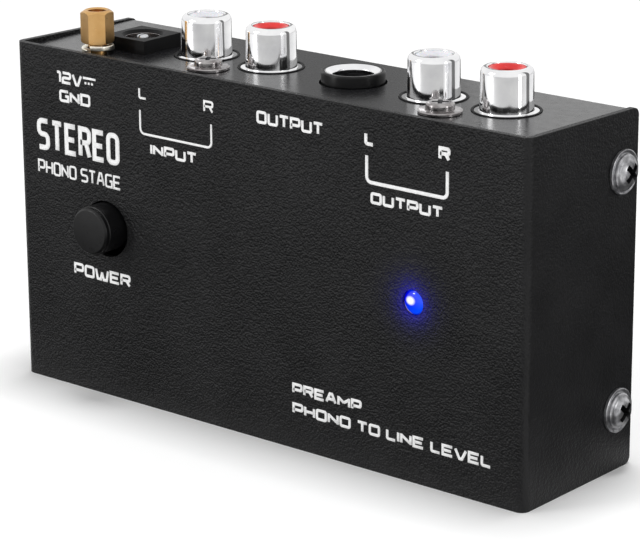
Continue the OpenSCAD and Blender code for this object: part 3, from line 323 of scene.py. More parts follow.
def raise_grain(tree, shader, place, size_mm, height_mm, detail=2.0, edge_mm=0.0):
    noise = add(tree, "ShaderNodeTexNoise", {"Vector": place, "Scale": 1 / (size_mm * MM),
                                             "Detail": detail})
    bump = add(tree, "ShaderNodeBump", {"Height": noise.outputs["Fac"], "Distance": height_mm * MM,
                                        "Strength": 1.0})
    if edge_mm:
        rounded = add(tree, "ShaderNodeBevel", {"Radius": edge_mm * MM}, samples=BEVEL_SAMPLES)
        tree.links.new(rounded.outputs["Normal"], bump.inputs["Normal"])
    tree.links.new(bump.outputs["Normal"], shader.inputs["Normal"])


def wear(material, *node_names):
    for name in node_names:
        nodes[name].data.materials.clear()
        nodes[name].data.materials.append(material)
    print(material.name, "on", len(node_names), "CAD nodes")


print("helpers ready for", len(nodes), "CAD nodes")

# %% [markdown]
# ### Wrinkle powder coat on the cover
# The cover is sprayed with a powder that shrinks as it bakes, which leaves a fine leathery grain a little
# under half a millimetre across. It hides fingerprints, and it breaks a lamp's reflection into specks. The
# grain is drawn with two layers of noise as height: small round bumps, and a coarser roll under them. The
# spray booth coats the face and catches the side walls only thinly, so the grain fades round the bends. The
# coat is rounder on every cut edge, so a Bevel node rounds the shading there without changing the CAD's
# mesh.

# %% Cover paint
BUMP_MM, ROLL_MM, GRAIN_DEEP_MM = 0.36, 0.8, 0.34
BUMP_SHARE = -0.55                                 # height falls away from a bump's middle
WALL_RELIEF = 0.35                                 # how much of the grain is left on the side walls
COAT_EDGE_MM = 0.22
cover_paint, tree, shader, place = finish("wrinkle_powder_coat", "#19191a", 0.42, Specular_IOR_Level=0.2)
vary_colour(tree, shader, place, "#151516", "#1d1d1e", 9.0)
rolls = add(tree, "ShaderNodeTexNoise", {"Vector": place, "Scale": 1 / (ROLL_MM * MM), "Detail": 2.0,
                                         "Roughness": 0.7})
bumps = add(tree, "ShaderNodeTexVoronoi", {"Vector": place, "Scale": 1 / (BUMP_MM * MM)}, feature="F1")
height = add(tree, "ShaderNodeMath", {0: bumps.outputs["Distance"], 1: BUMP_SHARE,
                                      2: rolls.outputs["Fac"]}, operation="MULTIPLY_ADD")
rounded = add(tree, "ShaderNodeBevel", {"Radius": COAT_EDGE_MM * MM}, samples=BEVEL_SAMPLES)
axes = add(tree, "ShaderNodeSeparateXYZ", {"Vector": place})
aside = add(tree, "ShaderNodeMath", {0: axes.outputs["X"]}, operation="ABSOLUTE")
relief = add(tree, "ShaderNodeMapRange", {"Value": aside.outputs[0], "From Min": (WALL_X - 1.5) * MM,
                                          "From Max": (WALL_X - 0.3) * MM, "To Min": 1.0,
                                          "To Max": WALL_RELIEF})
bump = add(tree, "ShaderNodeBump", {"Height": height.outputs[0], "Distance": GRAIN_DEEP_MM * MM,
                                    "Strength": relief.outputs["Result"],
                                    "Normal": rounded.outputs["Normal"]})
tree.links.new(bump.outputs["Normal"], shader.inputs["Normal"])
wear(cover_paint, "front_cover")

# %% [markdown]
# ### Satin powder coat on the chassis
# The jack panel, back and bottom are one sheet in a smoother coat. Seen at a low angle it mirrors the room
# softly, so it reads grey although its colour is black. Low roughness with a faint, wide orange-peel bump
# gives that.

# %% Chassis paint
chassis_paint, *base = finish("satin_powder_coat", "#121214", 0.25, Specular_IOR_Level=0.6)
vary_colour(*base, "#0f0f11", "#151517", 14.0)
vary_polish(*base, 0.22, 0.29, 1.6)
raise_grain(*base, 0.5, 0.006, edge_mm=0.15)
wear(chassis_paint, "chassis")

# %% [markdown]
# ### Plated steel
# A metal gets its colour from how it reflects, so metallic is 1 and the colour is light. How a plating was
# treated afterwards decides how it looks: polished, handled, never polished, or tumbled in a barrel with
# others.

# %% Platings
# Polished nickel on the shells: almost a mirror, with a faint haze
nickel, *base = finish("bright_nickel_plate", "#f0f0f1", 0.06, metallic=1.0)
vary_colour(*base, "#e8e8ea", "#f7f7f7", 3.0)
vary_polish(*base, 0.045, 0.10, 1.2)

# Nickel with finger marks, on the jack screws and the power jack's sleeve: darker, with soft blurred patches
haze_nickel, *base = finish("handled_nickel_plate", "#9a9696", 0.2, metallic=1.0)
vary_colour(*base, "#827d7d", "#aeabab", 1.4)
vary_polish(*base, 0.15, 0.27, 0.8)
raise_grain(*base, 0.5, 0.004)

# Nickel in bores and recesses: blurred where no wheel reaches, and painted dark as their shade
shaded_dull_nickel, *base = finish("dull_nickel_with_painted_shade", "#4a4a4c", 0.4, metallic=1.0)
vary_colour(*base, "#3c3c3e", "#5a5a5c", 1.2)

# Zinc on the case screws, tumbled against each other: stained, with small dents
tumbled_steel, *base = finish("tumbled_zinc_plate", "#a4a4a7", 0.36, metallic=1.0)
vary_colour(*base, "#7c7c7f", "#c8c8ca", 1.2)
vary_polish(*base, 0.32, 0.5, 0.7)
raise_grain(*base, 0.5, 0.008, detail=3.0)

# Nickel on the split washer's spring steel: pale and warm, hardly polished
washer_metal, *base = finish("nickelled_spring_steel", "#e6e0cf", 0.34, metallic=1.0)
vary_colour(*base, "#e6dfcb", "#f6f2e8", 1.0)
vary_polish(*base, 0.28, 0.4, 0.6)

# Tin on what is soldered: a cool white, blurred by its coarse crystals
tin, *base = finish("tin_plate", "#cfd1d4", 0.32, metallic=1.0)
vary_colour(*base, "#bfc1c4", "#dcdee0", 1.2)
vary_polish(*base, 0.26, 0.42, 0.8)
wear(tin, "board_standoffs", "board_screws", "power_jack_pin", "ground_lug", "switch_spring",
     "switch_terminals", "lamp_leads", "op_amp_legs")

# %% [markdown]
# ### Brass
# Brass is warm. A turned piece keeps the fine rings of the cutting tool, which blur its shine into a satin,
# and a rolled strip, stamped into springy contacts, is paler and smoother.

# %% Brasses
brass, *base = finish("turned_brass", "#d4a86c", 0.3, metallic=1.0)
vary_colour(*base, "#cc9f63", "#dab077", 2.4)
vary_polish(*base, 0.27, 0.34, 0.9)
raise_grain(*base, 0.3, 0.002)
wear(brass, "ground_stud", "ground_inner_nut")

spring_brass, *base = finish("rolled_spring_brass", "#d8c184", 0.28, metallic=1.0)
vary_colour(*base, "#ccb274", "#e2cf97", 1.5)
vary_polish(*base, 0.22, 0.36, 0.8)
wear(spring_brass, *(name + "_contact" for name in JACKS), "line_jack_tip_contact",
     "line_jack_ring_contact", "power_jack_contact")

# %% [markdown]
# ### Plastics and rubber
# Moulded plastic takes the texture of its mould, and its own gloss is set by its IOR of about 1.5. Light
# goes a little way into white and red plastic, so a little subsurface softens their shading.

# %% Black plastics and rubber
# Nylon from a plain steel mould, on the jacks' bodies: slightly rough, with a soft edge
black_plastic, *base = finish("moulded_black_nylon", "#0a0a0b", 0.36, IOR=1.5, Specular_IOR_Level=0.3)
vary_colour(*base, "#080809", "#0d0d0e", 2.5)
vary_polish(*base, 0.28, 0.42, 0.9)
raise_grain(*base, 0.35, 0.008, edge_mm=0.12)

# Nylon from a spark-eroded mould, on the power jack: grainy and matt, so it stays black under a lamp
matt_plastic, *base = finish("sparked_black_nylon", "#0a0a0b", 0.5, IOR=1.5, Specular_IOR_Level=0.15)
vary_colour(*base, "#070708", "#0e0e0f", 0.6)
raise_grain(*base, 0.3, 0.03, detail=3.0, edge_mm=0.1)

# ABS from a smooth mould, on the button: a satin sheen
button_plastic, *base = finish("smooth_black_abs", "#0e0e0f", 0.3, IOR=1.5, Specular_IOR_Level=0.3)
vary_colour(*base, "#0c0c0d", "#101011", 2.5)
vary_polish(*base, 0.26, 0.36, 0.8)
raise_grain(*base, 0.25, 0.004)

# Moulded rubber feet: matt, with a dusty sheen
rubber, *base = finish("moulded_rubber", "#1a1a1c", 0.78, IOR=1.52, Sheen_Weight=0.15)
vary_colour(*base, "#161618", "#202022", 1.5)
raise_grain(*base, 0.3, 0.02, detail=3.0, edge_mm=0.2)

wear(black_plastic, "input_jack_housing", "output_jack_housing", "line_jack_body", "switch_housing")
wear(matt_plastic, "power_jack_body")
wear(rubber, "rubber_feet")

# %% [markdown]
# The inserts tell left from right, so their plastic is bright and polished. Inside the case there is undyed
# nylon in the switch, and a green wire from the ground terminal.

# %% Coloured plastics
# Polished ABS: clean and glossy, a little soft where light goes in
SOFT_DEPTH = 1.0 * MM
white_plastic, *base = finish("polished_white_abs", "#dcdce0", 0.2, IOR=1.52, Subsurface_Weight=0.1,
                              Subsurface_Scale=SOFT_DEPTH)
vary_colour(*base, "#d4d4da", "#e4e4e8", 2.0)
vary_polish(*base, 0.16, 0.26, 0.8)

red_plastic, *base = finish("polished_red_abs", "#d8201f", 0.2, IOR=1.52, Subsurface_Weight=0.1,
                            Subsurface_Scale=SOFT_DEPTH)
vary_colour(*base, "#cc1a1b", "#e22c29", 2.0)
vary_polish(*base, 0.16, 0.26, 0.8)

# Nylon without dye: a milky off-white
natural_plastic, *base = finish("natural_nylon", "#e4e2da", 0.45, IOR=1.53)
vary_colour(*base, "#dcd9cf", "#ebe9e2", 2.0)
wear(natural_plastic, "switch_plunger")

# Soft PVC drawn over the wire: an even green with a low gloss
green_pvc, *base = finish("green_wire_pvc", "#2f7d3a", 0.4, IOR=1.53)
vary_colour(*base, "#29733a", "#37883f", 2.0)
wear(green_pvc, "ground_wire")

# %% [markdown]
# ### The circuit board and its parts
# Nobody sees these with the case shut, but the model can be opened. Bare phenolic laminate is tan with a
# paper fleck. Electrolytic capacitors wear a printed shrink sleeve, film capacitors are dipped in red
# epoxy, discs in tan ceramic coat, and resistors in pale lacquer with colour bands round the body, which a
# wave along X draws.

# %% Finishes on the board
# Pressed paper and resin: tan, with a fine fleck
laminate, *base = finish("paper_phenolic", "#b98b4a", 0.42, IOR=1.55)
vary_colour(*base, "#ab7d3f", "#c69a58", 1.4, detail=6.0)
raise_grain(*base, 0.6, 0.01, detail=4.0)
wear(laminate, "circuit_board")

# Shrunk sleeves: tight and glossy
blue_sleeve, *base = finish("blue_shrink_sleeve", "#1b2a55", 0.25, IOR=1.53)
vary_colour(*base, "#17244b", "#21325f", 2.0)
wear(blue_sleeve, "electrolytic_capacitors")

dark_sleeve, *base = finish("black_shrink_sleeve", "#1d1d20", 0.28, IOR=1.53)
vary_colour(*base, "#18181b", "#242428", 2.0)
wear(dark_sleeve, "supply_capacitor", "supply_choke")

# Dipped coats: glossy or dull, and always lumpy with round edges
red_epoxy, *base = finish("dipped_red_epoxy", "#8d2a23", 0.2, IOR=1.55, Coat_Weight=0.3)
vary_colour(*base, "#7f231d", "#9a342b", 1.6)
raise_grain(*base, 1.2, 0.03, detail=1.0, edge_mm=0.4)
wear(red_epoxy, "film_capacitors")

tan_ceramic, *base = finish("dipped_tan_ceramic", "#c58a3a", 0.4, IOR=1.55)
vary_colour(*base, "#b87d30", "#d09a4b", 1.2)
raise_grain(*base, 0.9, 0.03, edge_mm=0.4)
wear(tan_ceramic, "disc_capacitors")

# Painted lacquer: pale blue with brown bands, one every 6.3 mm
BAND_SCALE = 50.0
lacquer, tree, shader, place = finish("resistor_lacquer", "#7ea6c4", 0.25, IOR=1.52)
bands = add(tree, "ShaderNodeTexWave", {"Vector": place, "Scale": BAND_SCALE, "Distortion": 0.0},
            bands_direction="X")
ramp = add(tree, "ShaderNodeValToRGB", {"Fac": bands.outputs["Fac"]})
ramp.color_ramp.elements[0].position, ramp.color_ramp.elements[0].color = 0.72, linear("#7ea6c4")
ramp.color_ramp.elements[1].position, ramp.color_ramp.elements[1].color = 0.86, linear("#6b3a1e")
tree.links.new(ramp.outputs["Color"], shader.inputs["Base Color"])
wear(lacquer, "resistors")
wear(black_plastic, "op_amp_chip", "supply_diode", "voltage_regulator")

# %% [markdown]
# ## Making a piece
# Most of this hardware is turned on a lathe, and in Blender a spin does the same: a half section is drawn
# with a few vertices, its corners are rounded with a vertex bevel, and it is spun about an axis. The helper
# takes the section as radius and height pairs, so it reads like a drawing, and the rounding as a radius for
# a corner's number. A coil is spun, too, from a flat face that climbs as it goes round.

# %% Turned and coiled shapes
UPRIGHT_AXLE = {"cent": (0, 0, 0), "axis": (0, 0, 1)}
ROUND_STEPS = 96


def soften(bm, corners, radius_mm, segments):
    bmesh.ops.bevel(bm, geom=corners, offset=radius_mm * MM, offset_type="OFFSET", affect="VERTICES",
                    segments=segments, profile=0.5, material=-1)


def turned(section, rounds=None, closed=True, steps=ROUND_STEPS):
    bm = bmesh.new()
    corners = [bm.verts.new((r * MM, 0.0, z * MM)) for r, z in section]
    for start, end in zip(corners, corners[1:]):
        bm.edges.new((start, end))
    if closed:
        bm.edges.new((corners[-1], corners[0]))
    for index, radius in (rounds or {}).items():
        soften(bm, [corners[index]], radius, 5)
    bmesh.ops.spin(bm, geom=bm.verts[:] + bm.edges[:], **UPRIGHT_AXLE, dvec=(0, 0, 0), angle=2 * math.pi,
                   steps=steps, use_merge=True, use_duplicate=False)
    bmesh.ops.remove_doubles(bm, verts=bm.verts[:], dist=1e-7)
    bmesh.ops.recalc_face_normals(bm, faces=bm.faces[:])
    return bm


def climbing(bm, climb_mm, sweep_deg, steps):
    bmesh.ops.spin(bm, geom=bm.faces[:], **UPRIGHT_AXLE, dvec=(0, 0, climb_mm * MM / steps),
                   angle=math.radians(sweep_deg), steps=steps, use_merge=False, use_duplicate=False)
    bmesh.ops.remove_doubles(bm, verts=bm.verts[:], dist=1e-8)


print("turned pieces have", ROUND_STEPS, "sides unless they say otherwise")

# %% [markdown]
# A finished shape is moved to its place or swung to its side, and several are joined into one mesh. A
# solder tag is a plain flat bar, so it starts as a cube that is scaled to size.

# %% Moving and joining
def moved(bm, x=0.0, y=0.0, z=0.0):
    bmesh.ops.translate(bm, verts=bm.verts[:], vec=Vector((x, y, z)) * MM)
    return bm


def swung(bm, degrees, axis):
    bmesh.ops.rotate(bm, verts=bm.verts[:], cent=(0, 0, 0),
                     matrix=Matrix.Rotation(math.radians(degrees), 3, axis))
    return bm


def block(size, centre):
    bm = bmesh.new()
    bmesh.ops.create_cube(bm, size=MM)
    bmesh.ops.scale(bm, vec=size, verts=bm.verts[:])
    return moved(bm, *centre)


def joined(parts):
    whole = bmesh.new()
    for part in parts:
        lump = bpy.data.meshes.new("lump")
        part.to_mesh(lump)
        part.free()
        whole.from_mesh(lump)
        bpy.data.meshes.remove(lump)
    return whole


print("shapes can be moved, swung and joined")

# %% [markdown]
# The last helper turns a finished bmesh into an object. Smooth shading with sharp creases shows round sides
# as round and corners as corners. The piece rides on a CAD body and hides the CAD nodes that it stands for.

# %% A piece on its body
CREASE_DEG = 32                                    # a sharper bend than this shows as an edge


def piece(name, bm, material, body, slot, *replaced):
    mesh = bpy.data.meshes.new(name)
    bm.to_mesh(mesh)
    bm.free()
    mesh.shade_smooth()
    mesh.set_sharp_from_angle(angle=math.radians(CREASE_DEG))
    mesh.materials.append(material)
    made = bpy.data.objects.new(name, mesh)
    scene.collection.objects.link(made)
    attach(made, body)
    if replaced:
        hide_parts(*replaced)
    print(name, "-", len(mesh.polygons), "faces")
    return made


# %% [markdown]
# ### Phono jack shells
# A phono jack's shell is a deep-drawn steel cup with a flange at its foot and a rolled mouth. It narrows a
# touch towards the mouth, so that the plug slides on, and that small slope is also what makes its
# reflections run together at the shoulder. It is spun from its half section, with every corner rounded.
# Under the panel a tag hangs from it, and a tail runs from the tag to the board, where it is soldered. A
# thin ring of matt black plastic stands round the flange, a little proud of the panel.

# %% Shells
SHELL_TOP = box_mm("input_left_shell")[1][2]
LIP_UNDER = SHELL_TOP - 0.5
FLANGE_R, FLANGE_TOP = 5.02, PANEL_Z + 0.04
FOOT_R, MOUTH_R, LIP_R = 4.2, 4.08, 2.95
INSIDE_MOUTH_R, INSIDE_FOOT_R = 3.55, 3.72
RING_FOOT, RING_TOP = PANEL_UNDER + 0.05, PANEL_Z + 0.16
RING_IN_R, RING_OUT_R = 5.06, 5.46
for name, x in JACKS.items():
    cup = turned([(FLANGE_R, PANEL_UNDER), (FLANGE_R, FLANGE_TOP), (FOOT_R, FLANGE_TOP),
                  (MOUTH_R, SHELL_TOP), (LIP_R, SHELL_TOP), (LIP_R, LIP_UNDER),
                  (INSIDE_MOUTH_R, LIP_UNDER), (INSIDE_FOOT_R, PANEL_UNDER)],
                 {1: 0.03, 2: 0.18, 3: 0.9, 4: 0.2, 5: 0.1})
    tag = block(size=(2.0, 0.5, 3.1), centre=(0, 4.7, PANEL_UNDER - 1.5))
    tail = block(size=(1.0, 6.6, 0.5), centre=(0, 7.75, PANEL_UNDER - 2.75))
    shell = joined([cup, tag, tail])
    piece(name + "_bright_shell", moved(shell, x, JACK_Y), nickel, "case", "jack_chrome", name + "_shell")
    ring = turned([(RING_OUT_R, RING_FOOT), (RING_OUT_R, RING_TOP), (RING_IN_R, RING_TOP),
                   (RING_IN_R, RING_FOOT)], {1: 0.06, 2: 0.06})
    piece(name + "_black_flange_ring", moved(ring, x, JACK_Y), matt_plastic, "case", "black_plastic")

# %% [markdown]
# ### Coloured inserts
# The insert is the moulded ring that insulates the centre contact. Its face is a shallow funnel that guides
# the plug's pin, white for the left channel and red for the right.

# %% Inserts
INSERT_FOOT = box_mm("input_left_insulator")[0][2] + 0.05
INSERT_R, NECK_R, FUNNEL_R, PIN_HOLE_R = 3.6, 2.9, 2.6, 1.75
NECK_FOOT, INSERT_TOP = SHELL_TOP - 0.6, SHELL_TOP - 0.25
for name, x in JACKS.items():
    plastic, slot = (white_plastic, "white_plastic") if "left" in name else (red_plastic, "red_plastic")
    insert = turned([(INSERT_R, INSERT_FOOT), (INSERT_R, NECK_FOOT - 1.0), (NECK_R, NECK_FOOT),
                     (NECK_R, INSERT_TOP), (FUNNEL_R, INSERT_TOP), (PIN_HOLE_R + 0.05, INSERT_TOP - 0.6),
                     (PIN_HOLE_R, INSERT_TOP - 1.25), (PIN_HOLE_R, INSERT_FOOT)],
                    {2: 0.1, 3: 0.12, 4: 0.12, 5: 0.15})
    piece(name + "_funnel_insert", moved(insert, x, JACK_Y), plastic, "case", slot, name + "_insulator")

# %% [markdown]
# ### The 6.35 mm jack
# Its black nose stands in the panel with a rounded rim, and inside it sits a ferrule. Only its funnel mouth
# is polished, and the bore below it is dull as plating is inside a tube and painted dark as its shade, so
# the two are separate pieces.
# The nose's body is good as the CAD has it, and a thin moulded collar goes over the nose.

# %% 6.35 mm jack
LINE_X = middle_mm("line_jack_body")[0]
NOSE_TOP = box_mm("line_jack_body")[1][2]
NOSE_R, NOSE_HOLE_R = 5.14, 4.58
FERRULE_R, RIM_R, BORE_R = 4.54, 4.36, 3.27
FERRULE_FOOT, POLISHED_FROM = box_mm("line_jack_ferrule")[0][2] + 0.05, PANEL_Z + 0.7
collar = turned([(NOSE_R, PANEL_Z + 0.05), (NOSE_R, NOSE_TOP + 0.03), (NOSE_HOLE_R, NOSE_TOP + 0.03),
                 (NOSE_HOLE_R, PANEL_Z + 0.05)], {1: 0.24, 2: 0.05})
piece("line_jack_moulded_collar", moved(collar, LINE_X, JACK_Y), black_plastic, "case", "black_plastic")
mouth = turned([(FERRULE_R, POLISHED_FROM), (FERRULE_R, NOSE_TOP), (RIM_R, NOSE_TOP),
                (BORE_R, NOSE_TOP - 0.55), (BORE_R, POLISHED_FROM)], {1: 0.06, 2: 0.1, 3: 0.18})
piece("line_jack_bright_mouth", moved(mouth, LINE_X, JACK_Y), nickel, "case", "jack_chrome",
      "line_jack_ferrule")
tube = turned([(FERRULE_R, FERRULE_FOOT), (FERRULE_R, POLISHED_FROM), (BORE_R, POLISHED_FROM),
               (BORE_R, FERRULE_FOOT)])
tube = joined([tube, block(size=(1.0, 7.3, 0.5), centre=(0, 7.6, FERRULE_FOOT + 0.25))])
# The bore's dark metal is painted shade inside the tube
piece("line_jack_inner_tube", moved(tube, LINE_X, JACK_Y), shaded_dull_nickel, "case", "jack_chrome")

# %% [markdown]
# ### The power jack's sleeve
# The plug's barrel slides into a plated sleeve that lines the round well. It is a thin tube with a rolled
# lip. The jack is square, so its middle is half its width from its front.

# %% Power jack sleeve
(jack_left, jack_front, _), (jack_right, _, jack_top) = box_mm("power_jack_body")
POWER_JACK = (middle_mm("power_jack_body")[0], round(jack_front + (jack_right - jack_left) / 2, 2))
SLEEVE_R, SLEEVE_WALL = 3.08, 0.16
SLEEVE_FOOT, SLEEVE_TOP = 52.0, jack_top - 0.5
sleeve = turned([(SLEEVE_R, SLEEVE_FOOT), (SLEEVE_R, SLEEVE_TOP), (SLEEVE_R - SLEEVE_WALL, SLEEVE_TOP),
                 (SLEEVE_R - SLEEVE_WALL, SLEEVE_FOOT)], {1: 0.05, 2: 0.05})
piece("power_jack_well_sleeve", moved(sleeve, *POWER_JACK), haze_nickel, "case", "plated_steel")

# %% [markdown]
# ### Screws with a washer head
# The head is a spun dome on a flange. The cross recess is pressed into it: planes cut the dome along the
# edges of the cross, the faces inside the cross are pushed down, and they shrink as they go, as a real
# recess tapers. The recess has a second, dark metal, which paints the shade that falls down in it. The
# thread below is a plain pin with a chamfer, out of sight in its hole.

# %% Screw heads
RECESS_TAPER = 0.72
THREAD_R, THREAD_CHAMFER = 1.4, 0.3
RECESS_SHADE_INDEX = 1                                   # number of the recess's material on the piece


def screw_head(section, rounds, thread_long, arm, half_width, depth, swing_deg):
    bm = turned(section, rounds, closed=False, steps=64)
    for along in ((1, 0, 0), (0, 1, 0)):
        for place in (-arm, -half_width, half_width, arm):
            bmesh.ops.bisect_plane(bm, geom=bm.verts[:] + bm.edges[:] + bm.faces[:],
                                   plane_co=Vector(along) * place * MM, plane_no=along)
    bmesh.ops.remove_doubles(bm, verts=bm.verts[:], dist=2e-6)
    inside = []
    for face in bm.faces:
        middle = face.calc_center_median() / MM
        long_arm, thin_arm = max(abs(middle.x), abs(middle.y)), min(abs(middle.x), abs(middle.y))
        if long_arm < arm and thin_arm < half_width and face.normal.z > 0.3:
            inside.append(face)
    sunk = bmesh.ops.extrude_face_region(bm, geom=inside)
    low = [v for v in sunk["geom"] if isinstance(v, bmesh.types.BMVert)]
    bmesh.ops.delete(bm, geom=inside, context="FACES_ONLY")
    top = max(v.co.z for v in low)
    for v in low:
        v.co.z = top - depth * MM
    bmesh.ops.scale(bm, vec=(RECESS_TAPER, RECESS_TAPER, 1.0), verts=low)
    # The recess's faces take the dark metal as painted shade
    for face in {f for v in low for f in v.link_faces}:
        face.material_index = RECESS_SHADE_INDEX
    thread = turned([(0, -thread_long), (THREAD_R - THREAD_CHAMFER, -thread_long),
                     (THREAD_R, THREAD_CHAMFER - thread_long), (THREAD_R, 0.1), (0, 0.1)],
                    closed=False, steps=48)
    return swung(joined([bm, thread]), swing_deg, "Z")


print("recess shrinks to", RECESS_TAPER, "of its width at its floor")

# %% [markdown]
# The case screws have a tall dome with a groove round its foot and a wide dished flange, and their cross
# stands at 45 degrees. Each is built upright and then turned to lie in its wall.

# %% Case screws
CASE_FLANGE_R = 3.6
CASE_SCREW_Y = middle_mm("case_screws")[1]
CASE_SCREW_ZS = (round(box_mm("case_screws")[0][2] + CASE_FLANGE_R, 2),
                 round(box_mm("case_screws")[1][2] - CASE_FLANGE_R, 2))
heads = []
for side in (-1, 1):
    for z in CASE_SCREW_ZS:
        head = screw_head([(0, 1.95), (1.45, 1.9), (1.95, 1.62), (2.2, 1.15), (2.7, 0.98), (2.85, 0.8),
                           (2.85, 0.42), (3.0, 0.36), (3.4, 0.66), (3.58, 0.52), (3.58, 0.1), (3.45, 0.02),
                           (0, 0.0)], {1: 0.3, 2: 0.3, 3: 0.25, 4: 0.12, 8: 0.12},
                          thread_long=6.0, arm=1.65, half_width=0.46, depth=1.7, swing_deg=45)
        heads.append(moved(swung(head, 90 * side, "Y"), side * WALL_X, CASE_SCREW_Y, z))
case_screws = piece("case_screws_with_recess", joined(heads), tumbled_steel, "case", "case_screw_metal",
                    "case_screws")
# The second material is the dark metal that paints the recesses' shade
case_screws.data.materials.append(shaded_dull_nickel)

# %% [markdown]
# The screws that hold the jack housings are a little smaller and flatter, with a rounded button on a thin
# flange. Each stands midway between its two jacks, nearer to the face.

# %% Jack screws
JACK_SCREW_Y = middle_mm("jack_fixing_screws")[1]
heads = []
for housing in ("input_jack_housing", "output_jack_housing"):
    head = screw_head([(0, 1.75), (1.9, 1.7), (2.25, 1.45), (2.3, 0.6), (2.5, 0.5), (3.3, 0.55),
                       (3.48, 0.4), (3.48, 0.1), (3.4, 0.02), (0, 0.0)], {1: 0.3, 2: 0.2, 5: 0.1},
                      thread_long=7.0, arm=1.3, half_width=0.36, depth=0.9, swing_deg=35)
    heads.append(moved(head, middle_mm(housing)[0], JACK_SCREW_Y, PANEL_Z))
jack_screws = piece("jack_screws_with_recess", joined(heads), haze_nickel, "case", "jack_screw_chrome",
                    "jack_fixing_screws")
# The second material is the dark metal that paints the recesses' shade
jack_screws.data.materials.append(shaded_dull_nickel)

# %% [markdown]
# ### Ground terminal's nut
# A brass nut clamps the turntable's ground lead onto a split washer. The nut is a six-sided bar with its
# corners turned off at both ends, which is a spun solid cut by six flat planes. Each cut leaves a hole,
# which is filled from the edges that it left open.

# %% Nut
GROUND = middle_mm("ground_stud")[:2]
NUT_LOW, NUT_HIGH = box_mm("ground_nut")[0][2], box_mm("ground_nut")[1][2]
THREAD_HOLE_R, HOLE_MOUTH_R = 1.56, 1.8
NUT_FLAT, NUT_TURN_DEG = 2.4, 12
NUT_CORNER = NUT_FLAT / math.cos(math.radians(30)) + 0.03
nut = turned([(THREAD_HOLE_R, NUT_LOW), (HOLE_MOUTH_R, NUT_LOW), (NUT_CORNER - 0.3, NUT_LOW),
              (NUT_CORNER, NUT_LOW + 0.25), (NUT_CORNER, NUT_HIGH - 0.55), (NUT_CORNER - 0.8, NUT_HIGH),
              (HOLE_MOUTH_R, NUT_HIGH), (THREAD_HOLE_R, NUT_HIGH - 0.25)],
             {3: 0.12, 4: 0.12, 5: 0.1}, steps=120)
for side in range(6):
    facing = math.radians(60 * side + NUT_TURN_DEG)
    out = Vector((math.cos(facing), math.sin(facing), 0))
    cut = bmesh.ops.bisect_plane(nut, geom=nut.verts[:] + nut.edges[:] + nut.faces[:],
                                 plane_co=out * NUT_FLAT * MM, plane_no=out, clear_outer=True)
    rim = [e for e in cut["geom_cut"] if isinstance(e, bmesh.types.BMEdge) and e.is_boundary]
    bmesh.ops.holes_fill(nut, edges=rim, sides=0)
    bmesh.ops.remove_doubles(nut, verts=nut.verts[:], dist=1e-6)
bmesh.ops.recalc_face_normals(nut, faces=nut.faces[:])
piece("ground_hex_nut", moved(nut, *GROUND), brass, "terminal_nut", "ground_brass", "ground_nut")

# %% [markdown]
# ### Split washer
# The washer is one turn of square wire whose ends are sprung apart, so that it bites and holds the nut. Its
# section is spun with a climb, short of a full turn by the gap.

# %% Split washer
WASHER_IN_R, WASHER_OUT_R, WASHER_LOW, WASHER_HIGH = 1.72, 2.73, 0.02, 0.84
SPRUNG, SWEEP_DEG, GAP_TURN_DEG = 0.73, -346, -89
coil = bmesh.new()
corners = [coil.verts.new((r * MM, 0.0, z * MM))
           for r, z in ((WASHER_IN_R, WASHER_LOW), (WASHER_OUT_R, WASHER_LOW), (WASHER_OUT_R, WASHER_HIGH),
                        (WASHER_IN_R, WASHER_HIGH))]
coil.faces.new(corners)
soften(coil, corners, 0.16, 4)
climbing(coil, SPRUNG, SWEEP_DEG, steps=90)
swung(coil, GAP_TURN_DEG, "Z")
bmesh.ops.recalc_face_normals(coil, faces=coil.faces[:])
piece("ground_split_washer", moved(coil, *GROUND, PANEL_Z), washer_metal, "ground_washer",
      "lock_washer_metal", "ground_lock_washer")

# %% [markdown]
# ### Power button
# The cap is a moulded plug with a flat face. A small chamfer catches the light round its rim, and a step
# behind it draws a second, thinner line. It slides in and out of a hole that is a little larger than
# itself.

# %% Button cap
BUTTON_X, _, BUTTON_Z = middle_mm("power_button_cap")
CAP_FRONT, CAP_BACK = box_mm("power_button_cap")[0][1], box_mm("power_button_cap")[1][1]
CAP_LONG = CAP_BACK - CAP_FRONT
CAP_R, RIM_STEP_R, CAP_FACE_R = 4.08, 3.93, 3.62
cap = turned([(0, 0), (CAP_R, 0), (CAP_R, CAP_LONG - 1.0), (RIM_STEP_R, CAP_LONG - 0.92),
              (RIM_STEP_R, CAP_LONG - 0.3), (CAP_FACE_R, CAP_LONG), (0, CAP_LONG)],
             {2: 0.05, 3: 0.03, 4: 0.1, 5: 0.06}, closed=False)
piece("power_button_moulded_cap", moved(swung(cap, 90, "X"), BUTTON_X, CAP_BACK, BUTTON_Z), button_plastic,
      "power_button", "button_plastic", "power_button_cap")

# %% [markdown]
# A return spring pushes the button out again. One of its ends stays on the switch's floor, so it can't ride
# with the button as a rigid piece, and it rides on the case with a mesh of its own. Its wire is a small
# circle, spun about the coil's axis with a climb.

# %% Return spring
WIRE_R, COIL_R, TURNS, STEPS_A_TURN, PRESS = 0.175, 2.025, 5, 36, 2.2
spring_front, spring_back = (corner.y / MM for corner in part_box("switch_spring"))
spring_long = spring_back - spring_front
spring = bmesh.new()
bmesh.ops.create_circle(spring, segments=10, radius=WIRE_R * MM, cap_ends=True,
                        matrix=Matrix.Translation(Vector((COIL_R, 0, WIRE_R)) * MM)
                        @ Matrix.Rotation(math.radians(90), 4, "X"))
climbing(spring, spring_long - 2 * WIRE_R, 360 * TURNS, steps=STEPS_A_TURN * TURNS)
bmesh.ops.recalc_face_normals(spring, faces=spring.faces[:])
swung(spring, 90, "X")
spring_piece = piece("button_return_spring", moved(spring, BUTTON_X, spring_back, BUTTON_Z), tin, "case",
                     "plated_steel", "switch_spring")
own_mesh(spring_piece)
print("spring is", round(spring_long, 2), "mm long at rest")
